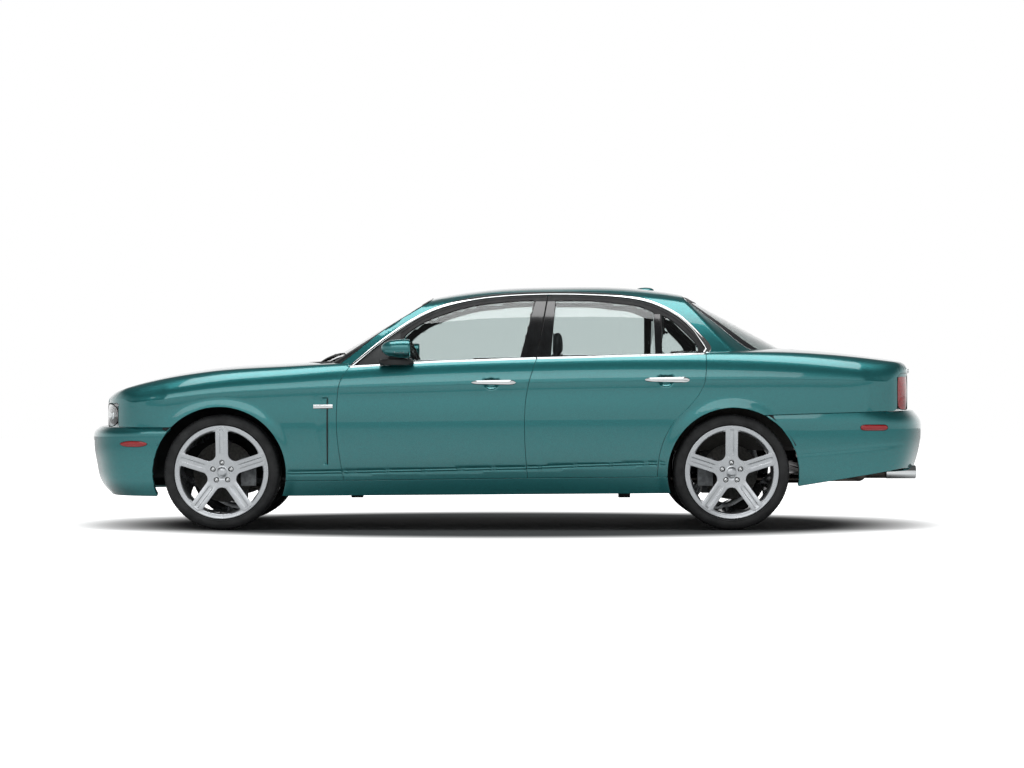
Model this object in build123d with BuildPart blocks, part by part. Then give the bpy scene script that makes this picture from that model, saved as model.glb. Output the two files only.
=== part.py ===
"""A large four-door luxury saloon, standing on its wheels, with opening doors, bonnet and boot lid.

X points to the tail, Y to the car's right, Z up. The origin is on the ground, under the middle of the car.
Lengths are in millimetres. Left-hand pieces are drawn, and the right-hand ones are their mirror images.
"""

from build123d import *

import math
import os

os.makedirs("parts", exist_ok=True)

# ---------------------------------------------------------------- overall sizes
length = 5091.0
wheelbase = 3034.0
front_overhang = 845.5
track = 1556.0
nose_x = -length / 2
tail_x = length / 2
front_x = nose_x + front_overhang
rear_x = front_x + wheelbase
wheel_y = track / 2

# ---------------------------------------------------------------- wheels
tyre_r = 345.0
tyre_w = 248.0
shoulder_w = 28.0
shoulder_h = 39.0
tyre_sides = 62
bead_gap = 1.2  # the facets stay outside the rim's flanges
rim_r = 279.0  # outside of the rim flange
rim_w = 238.0
flange_w = 8.0
seat_r = 253.0  # where the tyre's bead sits
barrel_t = 8.0
spoke_count = 5
spoke_w = 72.0
spoke_t = 42.0
spoke_dish = 28.0  # spoke face behind the outer rim edge
hub_r = 84.0
window_fillet = 16.0
spindle_r = 30.0
spindle_clearance = 3.0
groove_span = (96.0, 228.0)  # radii between which each spoke is grooved
groove_y = 19.0  # from the spoke's middle
groove_w = 9.0
groove_t = 5.0
nut_circle_r = 57.15
nut_recess_r = 15.0
nut_recess_depth = 26.0
front_disc_r = 180.0
rear_disc_r = 165.0
disc_t = 32.0
hat_r = 86.0
disc_out = -52.0  # from the wheel's middle plane outwards to the disc's
pad_out = 38.0  # where the disc's bell meets the rim
caliper_gap = 6.0
caliper_t = 14.0
wheel_z = tyre_r

# ---------------------------------------------------------------- gaps and walls
shut_gap = 6.0  # between neighbouring skins
joint_gap = 2.0  # between fixed neighbours
frame_gap = 12.0  # between the two doors' window frames
door_t = 100.0
wing_t = 28.0
bonnet_t = 26.0
roof_t = 34.0
frame_t = 24.0
glass_t = 5.0
bumper_t = 34.0
floor_t = 26.0
panel_t = 24.0
flange_t = 18.0
lamp_t = 60.0

# ---------------------------------------------------------------- steering
kingpin_inset = 96.0  # from the wheel's middle plane to the steering axis
moving_gap = 6.0
swing_r = math.hypot(tyre_r, kingpin_inset + tyre_w / 2 - shoulder_w) + moving_gap  # room for a steered tyre

# ---------------------------------------------------------------- lower body sections
# x, half width, height of the waist crease, height of the deck, inset of the shoulder
lower_rows = [
    (-2580, 900, 716, 762, 110),
    (-2399, 908, 738, 818, 120),
    (-2249, 914, 756, 878, 124),
    (-2100, 920, 772, 920, 120),
    (-1801, 926, 806, 974, 112),
    (-1279, 928, 838, 1010, 92),
    (-600, 930, 856, 1045, 72),
    (100, 930, 876, 1072, 72),
    (900, 930, 890, 1090, 76),
    (1400, 928, 896, 1100, 92),
    (1707, 924, 897, 1096, 108),
    (2080, 915, 891, 1065, 124),
    (2304, 906, 880, 1034, 128),
    (2600, 892, 866, 985, 128),
]
body_foot_z = 165.0
side_shape = [(62, 165), (34, 330), (-8, 500), (-2, 740)]  # control points: inset, height
shoulder_shape = [(9, 0.34), (0.42, 0.70), (1.0, 0.80)]  # control points: inset, share of the rise
deck_shape = [(2.6, 0.93), (0.0, 1.06)]
side_room = 960.0  # half width of the plan block, wider than the body

# ---------------------------------------------------------------- greenhouse sections
# x, half width at the belt, height of the roof line
cabin_rows = [
    (-1260, 812, 1150),
    (-800, 832, 1300),
    (-455, 842, 1400),
    (-150, 848, 1450),
    (320, 850, 1472),
    (760, 848, 1464),
    (1080, 836, 1420),
    (1350, 800, 1350),
    (1780, 742, 1215),
]
cabin_foot_z = 930.0
belt_z = 1000.0
roof_top = 1472.0
# control points of the sides and of the roof: share of the rise above the belt, inset at full height
cabin_shape = [(0.12, 20), (0.42, 88), (0.68, 150), (0.84, 215)]
roof_shape = [(0.95, 262), (1.012, 400)]
roof_crown = 1.012

# plan curve of each screen: height, x in the middle, x at the corner, half width of the corner
windscreen_rows = [(940.0, -1240.0, -1133.0, 796.0), (1480.0, -329.0, -300.0, 600.0)]
backlight_rows = [(940.0, 1974.0, 1589.0, 706.0), (1480.0, 966.0, 958.0, 560.0)]
screen_reach = 1000.0  # half width to which the screens' curves run on
screen_lean = 1.95  # plan thickness of a screen for each millimetre of real thickness

# ---------------------------------------------------------------- side outlines, as (x, z)
front_door_edge = [(-972, 296), (-995, 421), (-1013, 576), (-1014, 729), (-998, 874), (-940, 972)]
middle_edge = [(119, 310), (106, 472), (101, 627), (108, 771), (132, 896), (173, 1013)]
middle_top = (246, 1417)
rear_door_edge = [(890, 317), (903, 446), (936, 553), (990, 646), (1070, 726), (1136, 806), (1174, 887)]
rear_door_edge += [(1183, 990)]
sill_top = [(-1400, 293), (-980, 296), (110, 310), (1000, 318)]
sill_bottom = [(-1400, 203), (1000, 220)]
roof_rail = [(-940, 972), (-724, 1148), (-482, 1303), (-240, 1379), (107, 1416), (496, 1415)]
roof_rail += [(810, 1382), (1016, 1290), (1170, 1145), (1206, 1085), (1183, 1040)]
rail_half_w = 9.0
rail_front = 4  # points of the roof rail ahead of the middle pillar
front_window = [(-850, 940), (-850, 998), (-700, 1110), (-470, 1256), (-230, 1336), (100, 1374), (168, 1376)]
front_window += [(71, 1010), (54, 940)]
rear_window = [(257, 940), (257, 1022), (290, 1376), (500, 1373), (790, 1340), (980, 1258), (1116, 1132)]
rear_window += [(1146, 1072), (1140, 940)]
quarter_bar = [(880, 940), (916, 940), (900, 1400), (864, 1400)]
windscreen_cut = [(-1018, 960), (-721, 1204), (-500, 1342), (-440, 1392), (-480, 1440), (-1500, 1440)]
windscreen_cut += [(-1500, 960)]
backlight_cut = [(1042, 1402), (1245, 1240), (1420, 1090), (1480, 1066), (1560, 1060), (1760, 1072)]
backlight_cut += [(2200, 1072), (2200, 1500), (1060, 1500), (1044, 1420)]
front_handle = (-214.0, 49.0, 863.0, 897.0)  # x and z of its ends
rear_handle = (816.0, 1081.0, 878.0, 912.0)
handle_t = 11.0
handle_out = 8.0
handle_foot = 24.0
vent_edge = [(-1152, 790), (-1070, 794), (-1066, 640), (-1066, 388), (-1098, 388), (-1130, 560)]
vent_t = 9.0

# ---------------------------------------------------------------- arches, bumpers, lamps and lids
front_arch = (front_x - 12, 338.0, 398.0)  # x, z, radius
rear_arch = (rear_x + 8, 338.0, 393.0)
liner_gap = 17.0
liner_t = 12.0
liner_foot_z = 330.0
liner_y = 846.0
bumper_top_z = 612.0
# height, x of the tip, half width of the side
front_bumper_rows = [(203, -2440, 872), (262, -2490, 894), (400, -2530, 914), (520, -2545.5, 920)]
front_bumper_rows += [(590, -2535, 918), (612, -2508, 908)]
rear_bumper_rows = [(240, 2440, 886), (366, 2500, 905), (480, 2533, 914), (570, 2545.5, 917)]
rear_bumper_rows += [(660, 2538, 915), (716, 2494, 904)]
# control points of a bumper's plan curve: distance back from the tip, share of the side's half width
bumper_curve = [(420, 0.992), (150, 0.985), (6, 0.88), (-14, 0.50)]
bumper_tip = -12.0
front_bumper_end = front_x - 250
rear_bumper_end = rear_x + 150
rear_bumper_top = [(1480, 683), (2380, 712), (2700, 716)]
rear_bumper_foot = [(1480, 240), (1725, 262), (2360, 366), (2700, 372)]
intake_z = 330.0
intake_half_w = 430.0
intake_rows = 3
intake_pitch = 48.0
intake_bar = 12.0
intake_floor_x = -2477.0
bracket_y = 400.0
bracket_w = 60.0
bracket_z = 450.0
nose_plan = [(-2060, 925), (-2250, 880), (-2372, 700), (-2440, 350), (-2468, 0)]
tail_plan = [(2150, 915), (2300, 862), (2395, 700), (2430, 350), (2440, 0)]
bonnet_half_w = [(-2500, 380), (-2400, 520), (-2250, 640), (-1700, 742), (-1100, 800)]
bonnet_tail = [(-1244, 0), (-1210, 400), (-1108, 800)]
bonnet_front_z = 757.0
grille_half_w = 330.0
grille_slots = 17
grille_bar = 9.0
grille_frame = 16.0
grille_pitch = 2 * (grille_half_w - grille_frame) / grille_slots
grille_floor_x = -2424.0
lamp_span = (352.0, 862.0)
lamp_back_x = -2296.0
boot_half_w = 640.0
boot_front_x = 1745.0
boot_lip_z = 718.0
tail_lamp_x = 2292.0
plate_x = 2444.0
plate_wide = 320.0
plate_high = 162.0
plate_mid_z = 850.0
plate_holes = (177.8, 120.65)
plate_hole_r = 3.0
plate_hole_depth = 25.0
tail_lamp_z = 935.0
tip_y = 600.0
tip_r = 38.0
tip_z = 340.0
tip_x = 2462.0

# ---------------------------------------------------------------- structure
rail_y = 425.0  # inside of the front chassis walls
wall_top_z = 772.0
wing_rail_z = 815.0
front_panel_x = -2230.0
firewall_x = -1034.0
cabin_y = 753.0
post_y = 806.0
floor_z = 225.0
tunnel_w = 190.0
tunnel_z = 400.0
jack_x = (-900.0, 700.0)
jack_w = 70.0
jack_z = 190.0
boot_y = 606.0
boot_floor_z = 470.0
boot_back_x = 2306.0
boot_wall_z = 918.0
seat_back_x = 1262.0
shelf_z = 960.0
scuttle_y = 558.0  # half width of the plate between the rear screen and the boot lid
scuttle_wall_x = 1700.0
scuttle_wall_z = shelf_z - 10.0


def export(piece, name):
    """Labels a finished piece and writes it as a STEP file of that name."""
    piece.label = name
    export_step(piece, f"parts/{name}.step")
    return piece


def export_pair(piece, name):
    """Writes a left-hand piece and its right-hand twin."""
    export(piece, f"{name}_left")
    with BuildPart() as twin:
        mirror(piece, about=Plane.XZ)
    export(twin.part, f"{name}_right")


def export_both(piece, name):
    """Writes a left-hand piece and its right-hand twin, which don't touch, as one node."""
    with BuildPart() as twins:
        add(piece)
        mirror(piece, about=Plane.XZ)
    export(twins.part, name)


def grown(outline, amount):
    """A closed outline with each edge moved outwards by an amount, or inwards if that is negative."""
    pairs = list(zip(outline, outline[1:] + outline[:1]))
    turn = math.copysign(1, sum(x0 * z1 - x1 * z0 for (x0, z0), (x1, z1) in pairs))
    normals = []
    for (x0, z0), (x1, z1) in pairs:
        run = math.hypot(x1 - x0, z1 - z0)
        normals.append(((z1 - z0) / run * turn, (x0 - x1) / run * turn))
    moved = []
    for (x, z), (ax, az), (bx, bz) in zip(outline, normals[-1:] + normals[:-1], normals):
        scale = amount / (1 + ax * bx + az * bz)
        moved.append((x + (ax + bx) * scale, z + (az + bz) * scale))
    return moved


def side_face(edge, curves):
    """Lines round a side-view outline. For each (a, b) of curves, points a to b join smoothly."""
    spot = 0
    loop = edge + edge[:1]
    for start, end in list(curves) + [(len(edge), len(edge))]:
        if start > spot:
            Polyline(*loop[spot : start + 1])
        if end > start:
            Spline(*loop[start : end + 1])
        spot = end


def side_block(outline, y_near, y_far, grow=0.0, curves=(), grow_near=None):
    """A block with a side-view outline between two heights of Y, grown by a margin at each."""
    with BuildPart() as block:
        for y, margin in ((y_near, grow if grow_near is None else grow_near), (y_far, grow)):
            with BuildSketch(Plane.XZ.offset(-y)):
                with BuildLine():
                    side_face(grown(outline, margin), curves)
                make_face()
            if grow_near is None:
                break
        if grow_near is None:
            extrude(amount=y_near - y_far)
        else:
            loft(ruled=True)
    return block.part


def box(x0, x1, y0, y1, z0, z1):
    """A box between two corners."""
    with BuildPart() as block:
        with BuildSketch(Plane.XY.offset(z0)):
            with Locations(((x0 + x1) / 2, (y0 + y1) / 2)):
                Rectangle(x1 - x0, y1 - y0)
        extrude(amount=z1 - z0)
    return block.part


def cylinder_y(x, z, radius, y_near, y_far):
    """A cylinder about a line parallel to Y."""
    with BuildPart() as block:
        with BuildSketch(Plane.XZ.offset(-y_near)):
            with Locations((x, z)):
                Circle(radius)
        extrude(amount=y_near - y_far)
    return block.part


def combine(first, keep=(), cut=(), also=()):
    """One piece: first, kept inside each of keep, without each of cut, joined with each of also."""
    with BuildPart() as piece:
        add(first)
        for block in keep:
            add(block, mode=Mode.INTERSECT)
        for block in cut:
            add(block, mode=Mode.SUBTRACT)
        for block in also:
            add(block)
    return piece.part


def mirrored_points(points):
    """The same points on the other side of the car, in the opposite order."""
    return [(-y, z) for y, z in reversed(points)]


def lower_loft(inset):
    """The body below the glass, before its ends are rounded, pulled in by inset."""
    with BuildPart() as block:
        for x, half_w, crease, deck, shoulder in lower_rows:
            w = half_w - inset
            rise = deck - inset - crease
            edge = (w - 5, crease)
            side = [(w - inward, z) for inward, z in side_shape] + [edge]
            bend, bow, end = shoulder_shape
            shoulders = [edge, (w - bend[0], crease + rise * bend[1])]
            shoulders += [(w - shoulder * share, crease + rise * up) for share, up in (bow, end)]
            crown, middle = deck_shape
            deck_half = [shoulders[-1], (w - shoulder * crown[0], crease + rise * crown[1])]
            with BuildSketch(Plane.YZ.offset(x)):
                with BuildLine():
                    Bezier(*side)
                    Bezier(*shoulders)
                    Bezier(*(deck_half + [(0, crease + rise * middle[1])] + mirrored_points(deck_half)))
                    Bezier(*mirrored_points(shoulders))
                    Bezier(*mirrored_points(side))
                    Line((-side[0][0], side[0][1]), side[0])
                make_face()
        loft()
    return block.part


def plan_block(inset):
    """A tall block whose plan rounds the nose and the tail, pulled in by inset."""
    nose = [(x + inset, max(y - inset, 0)) for x, y in nose_plan]
    tail = [(x - inset, max(y - inset, 0)) for x, y in tail_plan]
    with BuildPart() as block:
        with BuildSketch():
            with BuildLine():
                Spline(*(nose + [(x, -y) for x, y in reversed(nose[:-1])]))
                Spline(*(tail + [(x, -y) for x, y in reversed(tail[:-1])]))
                for side in (1, -1):
                    Polyline(
                        (nose[0][0], side * nose[0][1]),
                        (nose[0][0] + 60, side * side_room),
                        (tail[0][0] - 60, side * side_room),
                        (tail[0][0], side * tail[0][1]),
                    )
            make_face()
        extrude(amount=roof_top)
    return block.part


def lower_body(inset):
    """The body below the glass as one smooth block, pulled in by inset."""
    return combine(lower_loft(inset), keep=[plan_block(inset)])


def cabin_loft(inset):
    """The greenhouse before its screens are cut, pulled in by inset."""
    full = roof_top - belt_z
    with BuildPart() as block:
        for x, half_w, roof in cabin_rows:
            w = half_w - inset
            rise = roof - inset - belt_z
            side = [(w + 12, cabin_foot_z)]
            side += [(w - inward * rise / full, belt_z + share * rise) for share, inward in cabin_shape]
            over = side[-1:]
            over += [(w - inward * rise / full, belt_z + share * rise) for share, inward in roof_shape]
            with BuildSketch(Plane.YZ.offset(x)):
                with BuildLine():
                    Bezier(*side)
                    Bezier(*(over + [(0, belt_z + roof_crown * rise)] + mirrored_points(over)))
                    Bezier(*mirrored_points(side))
                    Line((-side[0][0], cabin_foot_z), side[0])
                make_face()
        loft()
    return block.part


def screen_curve(row, shift):
    """One screen's plan curve, moved along X by shift and run on in a straight line past its corners."""
    z, x_mid, x_corner, y_corner = row
    slope = 2 * (x_corner - x_mid) / y_corner
    x_end = x_corner + slope * (screen_reach - y_corner)
    ThreePointArc((x_corner + shift, -y_corner), (x_mid + shift, 0), (x_corner + shift, y_corner))
    for side in (1, -1):
        Line((x_corner + shift, side * y_corner), (x_end + shift, side * screen_reach))
    return x_end + shift


def screens_block(inset):
    """The block between the windscreen's and the rear window's outer faces, pulled in by inset."""
    with BuildPart() as block:
        for front, rear in zip(windscreen_rows, backlight_rows):
            with BuildSketch(Plane.XY.offset(front[0])):
                with BuildLine():
                    x_front = screen_curve(front, inset * screen_lean)
                    x_rear = screen_curve(rear, -inset * screen_lean)
                    for side in (1, -1):
                        Line((x_front, side * screen_reach), (x_rear, side * screen_reach))
                make_face()
        loft(ruled=True)
    return block.part


def cabin(inset):
    """The greenhouse as one smooth block, pulled in by inset."""
    return combine(cabin_loft(inset), keep=[screens_block(inset)])


def bumper_block(rows, x_end, inset):
    """A bumper's outer form, which wraps round an end of the car, pulled in by inset."""
    way = 1 if rows[0][1] < 0 else -1
    with BuildPart() as block:
        for z, x_tip, y_side in rows:
            w = y_side - inset
            tip = x_tip + way * inset
            half = [(tip + way * back, w * share) for back, share in bumper_curve]
            with BuildSketch(Plane.XY.offset(z)):
                with BuildLine():
                    Bezier(*(half + [(tip + way * bumper_tip, 0)] + [(x, -y) for x, y in reversed(half)]))
                    Polyline((half[0][0], -half[0][1]), (x_end, -w), (x_end, w), half[0])
                make_face()
        loft()
    return block.part


def plan_strip(line, y_from, y_to, x0, x1, z0, z1):
    """A left-hand upright strip along a plan line of (x, half width), between two distances from it."""
    inner = [(x, -(y + y_from)) for x, y in line]
    outer = [(x, -(y + y_to)) for x, y in line]
    with BuildPart() as block:
        with BuildSketch(Plane.XY.offset(z0)):
            with BuildLine():
                Polyline(*(inner + outer[::-1] + inner[:1]))
            make_face()
        extrude(amount=z1 - z0)
    return combine(block.part, keep=[box(x0, x1, -2 * side_room, 0, z0, z1)])


# ---------------------------------------------------------------- forms that the panels share
full_height = roof_top + 100
far = 1200.0
body = lower_body(0)
body_wing = lower_body(wing_t)
body_bonnet = lower_body(bonnet_t)
body_lamp = lower_body(lamp_t)
body_vent = lower_body(vent_t)
top = cabin(0)
top_frame = cabin(frame_t)
top_inner = cabin(roof_t)

front_arch_cut = cylinder_y(*front_arch, -500, -far)
rear_arch_cut = cylinder_y(*rear_arch, -500, -far)


# ---------------------------------------------------------------- wings
wing_side = [(-2700, bumper_top_z), (front_arch[0], bumper_top_z), (front_arch[0], sill_top[0][1])]
wing_side += front_door_edge + [(-940, 1200), (-2700, 1200)]
wing_area = side_block(wing_side, -300, -far, grow=-shut_gap / 2, curves=[(3, 8)])
lamp_area = box(-2700, lamp_back_x, -lamp_span[1], -lamp_span[0], bumper_top_z, bonnet_front_z - shut_gap / 2)
bonnet_cover = plan_strip(bonnet_half_w, -far, shut_gap / 2, -2700, -1100, 0, full_height)
with BuildPart() as wing:
    add(body)
    add(body_wing, mode=Mode.SUBTRACT)
    add(wing_area, mode=Mode.INTERSECT)
    add(front_arch_cut, mode=Mode.SUBTRACT)
    add(bonnet_cover, mode=Mode.SUBTRACT)
    add(box(-2700, lamp_back_x + joint_gap, -far, 0, 0, bonnet_front_z), mode=Mode.SUBTRACT)
    add(box(-1110, 0, -790, 0, 0, full_height), mode=Mode.SUBTRACT)
    add(combine(side_block(vent_edge, -300, -far), cut=[body_vent]), mode=Mode.SUBTRACT)
    seam_y = shut_gap / 2
    wing_flange = plan_strip(bonnet_half_w, seam_y, seam_y + flange_t, -2150, -1110, wing_rail_z, 1100)
    add(combine(wing_flange, keep=[body_wing]))
export_both(wing.part, "wings")

# ---------------------------------------------------------------- rear quarters
quarter_side = rear_door_edge[::-1] + [(rear_arch[0], 320), (rear_arch[0], 683), (2380, 712), (2700, 716)]
quarter_side += [(2700, 1300), (1183, 1300)]
quarter_area = side_block(quarter_side, -300, -far, grow=-shut_gap / 2, curves=[(0, len(rear_door_edge) - 1)])
boot_cover = box(boot_front_x, 2700, -boot_half_w - shut_gap / 2, 0, 0, full_height)
with BuildPart() as quarter:
    add(body)
    add(body_wing, mode=Mode.SUBTRACT)
    add(quarter_area, mode=Mode.INTERSECT)
    add(rear_arch_cut, mode=Mode.SUBTRACT)
    add(boot_cover, mode=Mode.SUBTRACT)
    add(box(1100, boot_front_x, -560, 0, 0, full_height), mode=Mode.SUBTRACT)
    add(box(tail_lamp_x - joint_gap, 2700, -far, 0, 0, tail_lamp_z + joint_gap), mode=Mode.SUBTRACT)
    seam_y = -boot_half_w - shut_gap / 2
    quarter_flange = box(1500, 2280, seam_y - flange_t, seam_y, boot_wall_z, 1200)
    add(combine(quarter_flange, keep=[body_wing]))
export_both(quarter.part, "quarters")

# ---------------------------------------------------------------- sills
sill_outline = [(sill_top[0][0], sill_bottom[0][1])] + [(x, z - shut_gap / 2) for x, z in sill_top]
sill_outline += [sill_bottom[1]]
with BuildPart() as sill:
    add(body)
    add(side_block(sill_outline, -cabin_y, -far), mode=Mode.INTERSECT)
    add(front_arch_cut, mode=Mode.SUBTRACT)
    add(rear_arch_cut, mode=Mode.SUBTRACT)
    with BuildSketch():
        with Locations((front_x, kingpin_inset - wheel_y)):
            Circle(swing_r)
    extrude(amount=full_height, mode=Mode.SUBTRACT)
export_both(sill.part, "sills")

# ---------------------------------------------------------------- doors
door_skin_y = -max(row[1] for row in lower_rows) - 10
door_block_y = door_skin_y + door_t + 6
door_taper = 9.0


def door_piece(outline, curves, frame_outline, window, split):
    """A door: a thick panel whose edges taper inwards, and the window frame."""
    panel = side_block(outline, door_block_y, door_skin_y, -shut_gap / 2, curves, -shut_gap / 2 - door_taper)
    frame_area = side_block(frame_outline, -300, -far, grow=-rail_half_w - shut_gap / 2)
    window_frame = combine(top, keep=[frame_area], cut=[top_frame, split, side_block(window, -300, -far)])
    with BuildPart() as door:
        add(body)
        add(panel, mode=Mode.INTERSECT)
        add(window_frame)
    return door.part


def handle(x0, x1, z0, z1):
    """A pull handle that stands proud of a left-hand door on two feet."""
    y_in, y_out = door_skin_y + 50, door_skin_y - handle_out
    z_mid, high = (z0 + z1) / 2, z1 - z0
    with BuildPart() as pull:
        with BuildSketch(Plane.XZ.offset(-(y_out + handle_t))):
            with Locations(((x0 + x1) / 2, z_mid)):
                RectangleRounded(x1 - x0, high, high * 0.45)
        extrude(amount=handle_t)
        for x in (x0 + handle_foot, x1 - handle_foot):
            add(box(x - handle_foot / 2, x + handle_foot / 2, y_out + 1, y_in, z_mid - 8, z_mid + 8))
    return pull.part


def split_block(x_shift, x_far):
    """The room ahead of or behind the middle pillar's shut line, moved by x_shift."""
    foot, belt, head = (150, 940), middle_edge[-1], middle_top
    reach = head[0] - (head[0] - belt[0]) * (head[1] - full_height) / (head[1] - belt[1])
    line = [(foot[0] + x_shift, foot[1]), (belt[0] + x_shift, belt[1]), (reach + x_shift, full_height)]
    return side_block(line + [(x_far, full_height), (x_far, foot[1])], -300, -far)


front_frame = [(-950, 940)] + roof_rail[: rail_front + 2] + [(496, 940)]
rear_frame = [(-20, 940)] + roof_rail[rail_front - 1 :] + [(1183, 940)]
front_outline = front_door_edge + middle_edge[::-1]
front_split = split_block(-frame_gap / 2, far)
front_door = door_piece(front_outline, [(0, 5), (6, 11)], front_frame, front_window, front_split)
front_door = combine(front_door, also=[handle(*front_handle)])
export_pair(front_door, "front_door")
rear_outline = middle_edge + rear_door_edge[::-1]
rear_split = split_block(frame_gap / 2, -far)
rear_door = door_piece(rear_outline, [(0, 5), (6, 13)], rear_frame, rear_window, rear_split)
bar = combine(top, keep=[side_block(quarter_bar, -300, -far)], cut=[top_frame])
bar = combine(bar, keep=[side_block(rear_window, -300, -far)])
rear_door = combine(rear_door, also=[bar, handle(*rear_handle)])
export_pair(rear_door, "rear_door")

# ---------------------------------------------------------------- door glass
glass_outer = cabin(frame_t / 2)
glass_inner = cabin(frame_t / 2 + glass_t)
for name, window, door in (("front", front_window, front_door), ("rear", rear_window, rear_door)):
    with BuildPart() as glass:
        add(glass_outer)
        add(glass_inner, mode=Mode.SUBTRACT)
        add(side_block(window, -300, -far), mode=Mode.INTERSECT)
        add(door, mode=Mode.SUBTRACT)
    export_pair(glass.part, f"{name}_door_glass")

# ---------------------------------------------------------------- side frames, roof and screens
roof_half_w = 556.0
header_z = 1384.0
rail_outline = roof_rail + [(1183, 300), (2600, 300), (2600, full_height), (-2600, full_height)]
rail_outline += [(-2600, 900), (-940, 900)]
screen_cuts = [side_block(windscreen_cut, 0, -far), side_block(backlight_cut, 0, -far)]
with BuildPart() as side_frame:
    add(top)
    add(top_inner, mode=Mode.SUBTRACT)
    rail_area = side_block(rail_outline, -roof_half_w - joint_gap, -far, grow=rail_half_w - shut_gap / 2)
    add(rail_area, mode=Mode.INTERSECT)
    for screen_cut in screen_cuts:
        add(screen_cut, mode=Mode.SUBTRACT)
    add(body, mode=Mode.SUBTRACT)
export_both(side_frame.part, "side_frames")

with BuildPart() as roof:
    add(top)
    add(top_inner, mode=Mode.SUBTRACT)
    add(box(-900, 1500, -roof_half_w, roof_half_w, header_z, full_height), mode=Mode.INTERSECT)
    for cut in (windscreen_cut, backlight_cut):
        add(side_block(cut, far, -far), mode=Mode.SUBTRACT)
export(roof.part, "roof")

screen_outer = cabin(joint_gap)
screen_inner = cabin(joint_gap + glass_t)
with BuildPart() as screens:
    add(screen_outer)
    add(screen_inner, mode=Mode.SUBTRACT)
    screen_areas = [side_block(cut, far, -far, grow=-joint_gap) for cut in (windscreen_cut, backlight_cut)]
    add(combine(screen_areas[0], also=screen_areas[1:]), mode=Mode.INTERSECT)
    add(body, mode=Mode.SUBTRACT)
export(screens.part, "screens")

# ---------------------------------------------------------------- bonnet and boot lid
with BuildPart() as bonnet_plan:
    with BuildSketch():
        with BuildLine():
            half = [(x, y - shut_gap / 2) for x, y in bonnet_half_w]
            Polyline(*([(-2700, 370)] + half))
            Polyline(*([(-2700, -370)] + [(x, -y) for x, y in half]))
            Line((-2700, 370), (-2700, -370))
            tail_half = [(x, y - shut_gap / 2 if y == 800 else y) for x, y in bonnet_tail]
            tail_half[-1] = half[-1]
            Spline(*([(x, -y) for x, y in reversed(tail_half[1:])] + tail_half))
        make_face()
    extrude(amount=full_height)
with BuildPart() as bonnet:
    add(body)
    add(body_bonnet, mode=Mode.SUBTRACT)
    add(bonnet_plan.part, mode=Mode.INTERSECT)
    add(box(-2700, 0, -far, far, 0, bonnet_front_z), mode=Mode.SUBTRACT)
export(bonnet.part, "bonnet")

with BuildPart() as boot_lid:
    add(body)
    add(body_bonnet, mode=Mode.SUBTRACT)
    lid_w = boot_half_w - shut_gap / 2
    add(box(boot_front_x + shut_gap, 2700, -lid_w, lid_w, boot_lip_z, full_height), mode=Mode.INTERSECT)
    plate_z0, plate_z1 = plate_mid_z - plate_high / 2, plate_mid_z + plate_high / 2
    add(box(plate_x - 60, plate_x, -plate_wide / 2, plate_wide / 2, plate_z0, plate_z1))
    with BuildSketch(Plane.YZ.offset(plate_x)):
        with Locations((0, plate_mid_z)):
            with GridLocations(plate_holes[0], plate_holes[1], 2, 2):
                Circle(plate_hole_r)
    extrude(amount=-plate_hole_depth, mode=Mode.SUBTRACT)
export(boot_lid.part, "boot_lid")

# ---------------------------------------------------------------- bumpers, grille and lamps
with BuildPart() as front_bumper:
    add(bumper_block(front_bumper_rows, front_bumper_end, 0))
    hollow = bumper_block(front_bumper_rows, front_bumper_end + 40, bumper_t)
    add(combine(hollow, keep=[box(-2700, 0, -far, far, 0, bumper_top_z - bumper_t)]), mode=Mode.SUBTRACT)
    add(box(-2250, 0, -860, 860, 0, full_height), mode=Mode.SUBTRACT)
    for side in (1, -1):
        add(cylinder_y(*front_arch, side * 600 + 400, side * 600 - 400), mode=Mode.SUBTRACT)
        y = side * bracket_y
        add(box(-2500, front_panel_x, y - bracket_w / 2, y + bracket_w / 2, bracket_z, bracket_z + bracket_w))
    with BuildSketch(Plane.YZ.offset(-2700)):
        with Locations((0, intake_z)):
            with GridLocations(0, intake_pitch, 1, intake_rows):
                RectangleRounded(2 * intake_half_w, intake_pitch - intake_bar, 12)
    extrude(amount=2700 + intake_floor_x, mode=Mode.SUBTRACT)
export(front_bumper.part, "front_bumper")

rear_bumper_outline = rear_bumper_foot + rear_bumper_top[::-1]
with BuildPart() as rear_bumper:
    add(bumper_block(rear_bumper_rows, rear_bumper_end, 0))
    hollow = bumper_block(rear_bumper_rows, rear_bumper_end - 40, bumper_t)
    under = [(x, z - bumper_t) for x, z in rear_bumper_top]
    hollow_side = [(rear_bumper_end - 60, 0)] + [(rear_bumper_end - 60, under[0][1])] + under + [(2700, 0)]
    add(combine(hollow, keep=[side_block(hollow_side, far, -far)]), mode=Mode.SUBTRACT)
    add(box(0, 2240, -850, 850, 0, full_height), mode=Mode.SUBTRACT)
    tub_room = boot_y + panel_t + joint_gap
    add(box(0, boot_back_x + panel_t + joint_gap, -tub_room, tub_room, 0, full_height), mode=Mode.SUBTRACT)
    add(side_block(rear_bumper_outline, far, -far, grow=-joint_gap / 2), mode=Mode.INTERSECT)
    for side in (1, -1):
        add(cylinder_y(*rear_arch, side * 600 + 400, side * 600 - 400), mode=Mode.SUBTRACT)
        y = side * bracket_y
        add(box(boot_back_x + panel_t, 2490, y - bracket_w / 2, y + bracket_w / 2, 500, 500 + bracket_w))
        with BuildSketch(Plane.YZ.offset(2100)):
            with Locations((side * tip_y, tip_z)):
                Circle(tip_r + 12)
        extrude(amount=500, mode=Mode.SUBTRACT)
export(rear_bumper.part, "rear_bumper")

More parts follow.
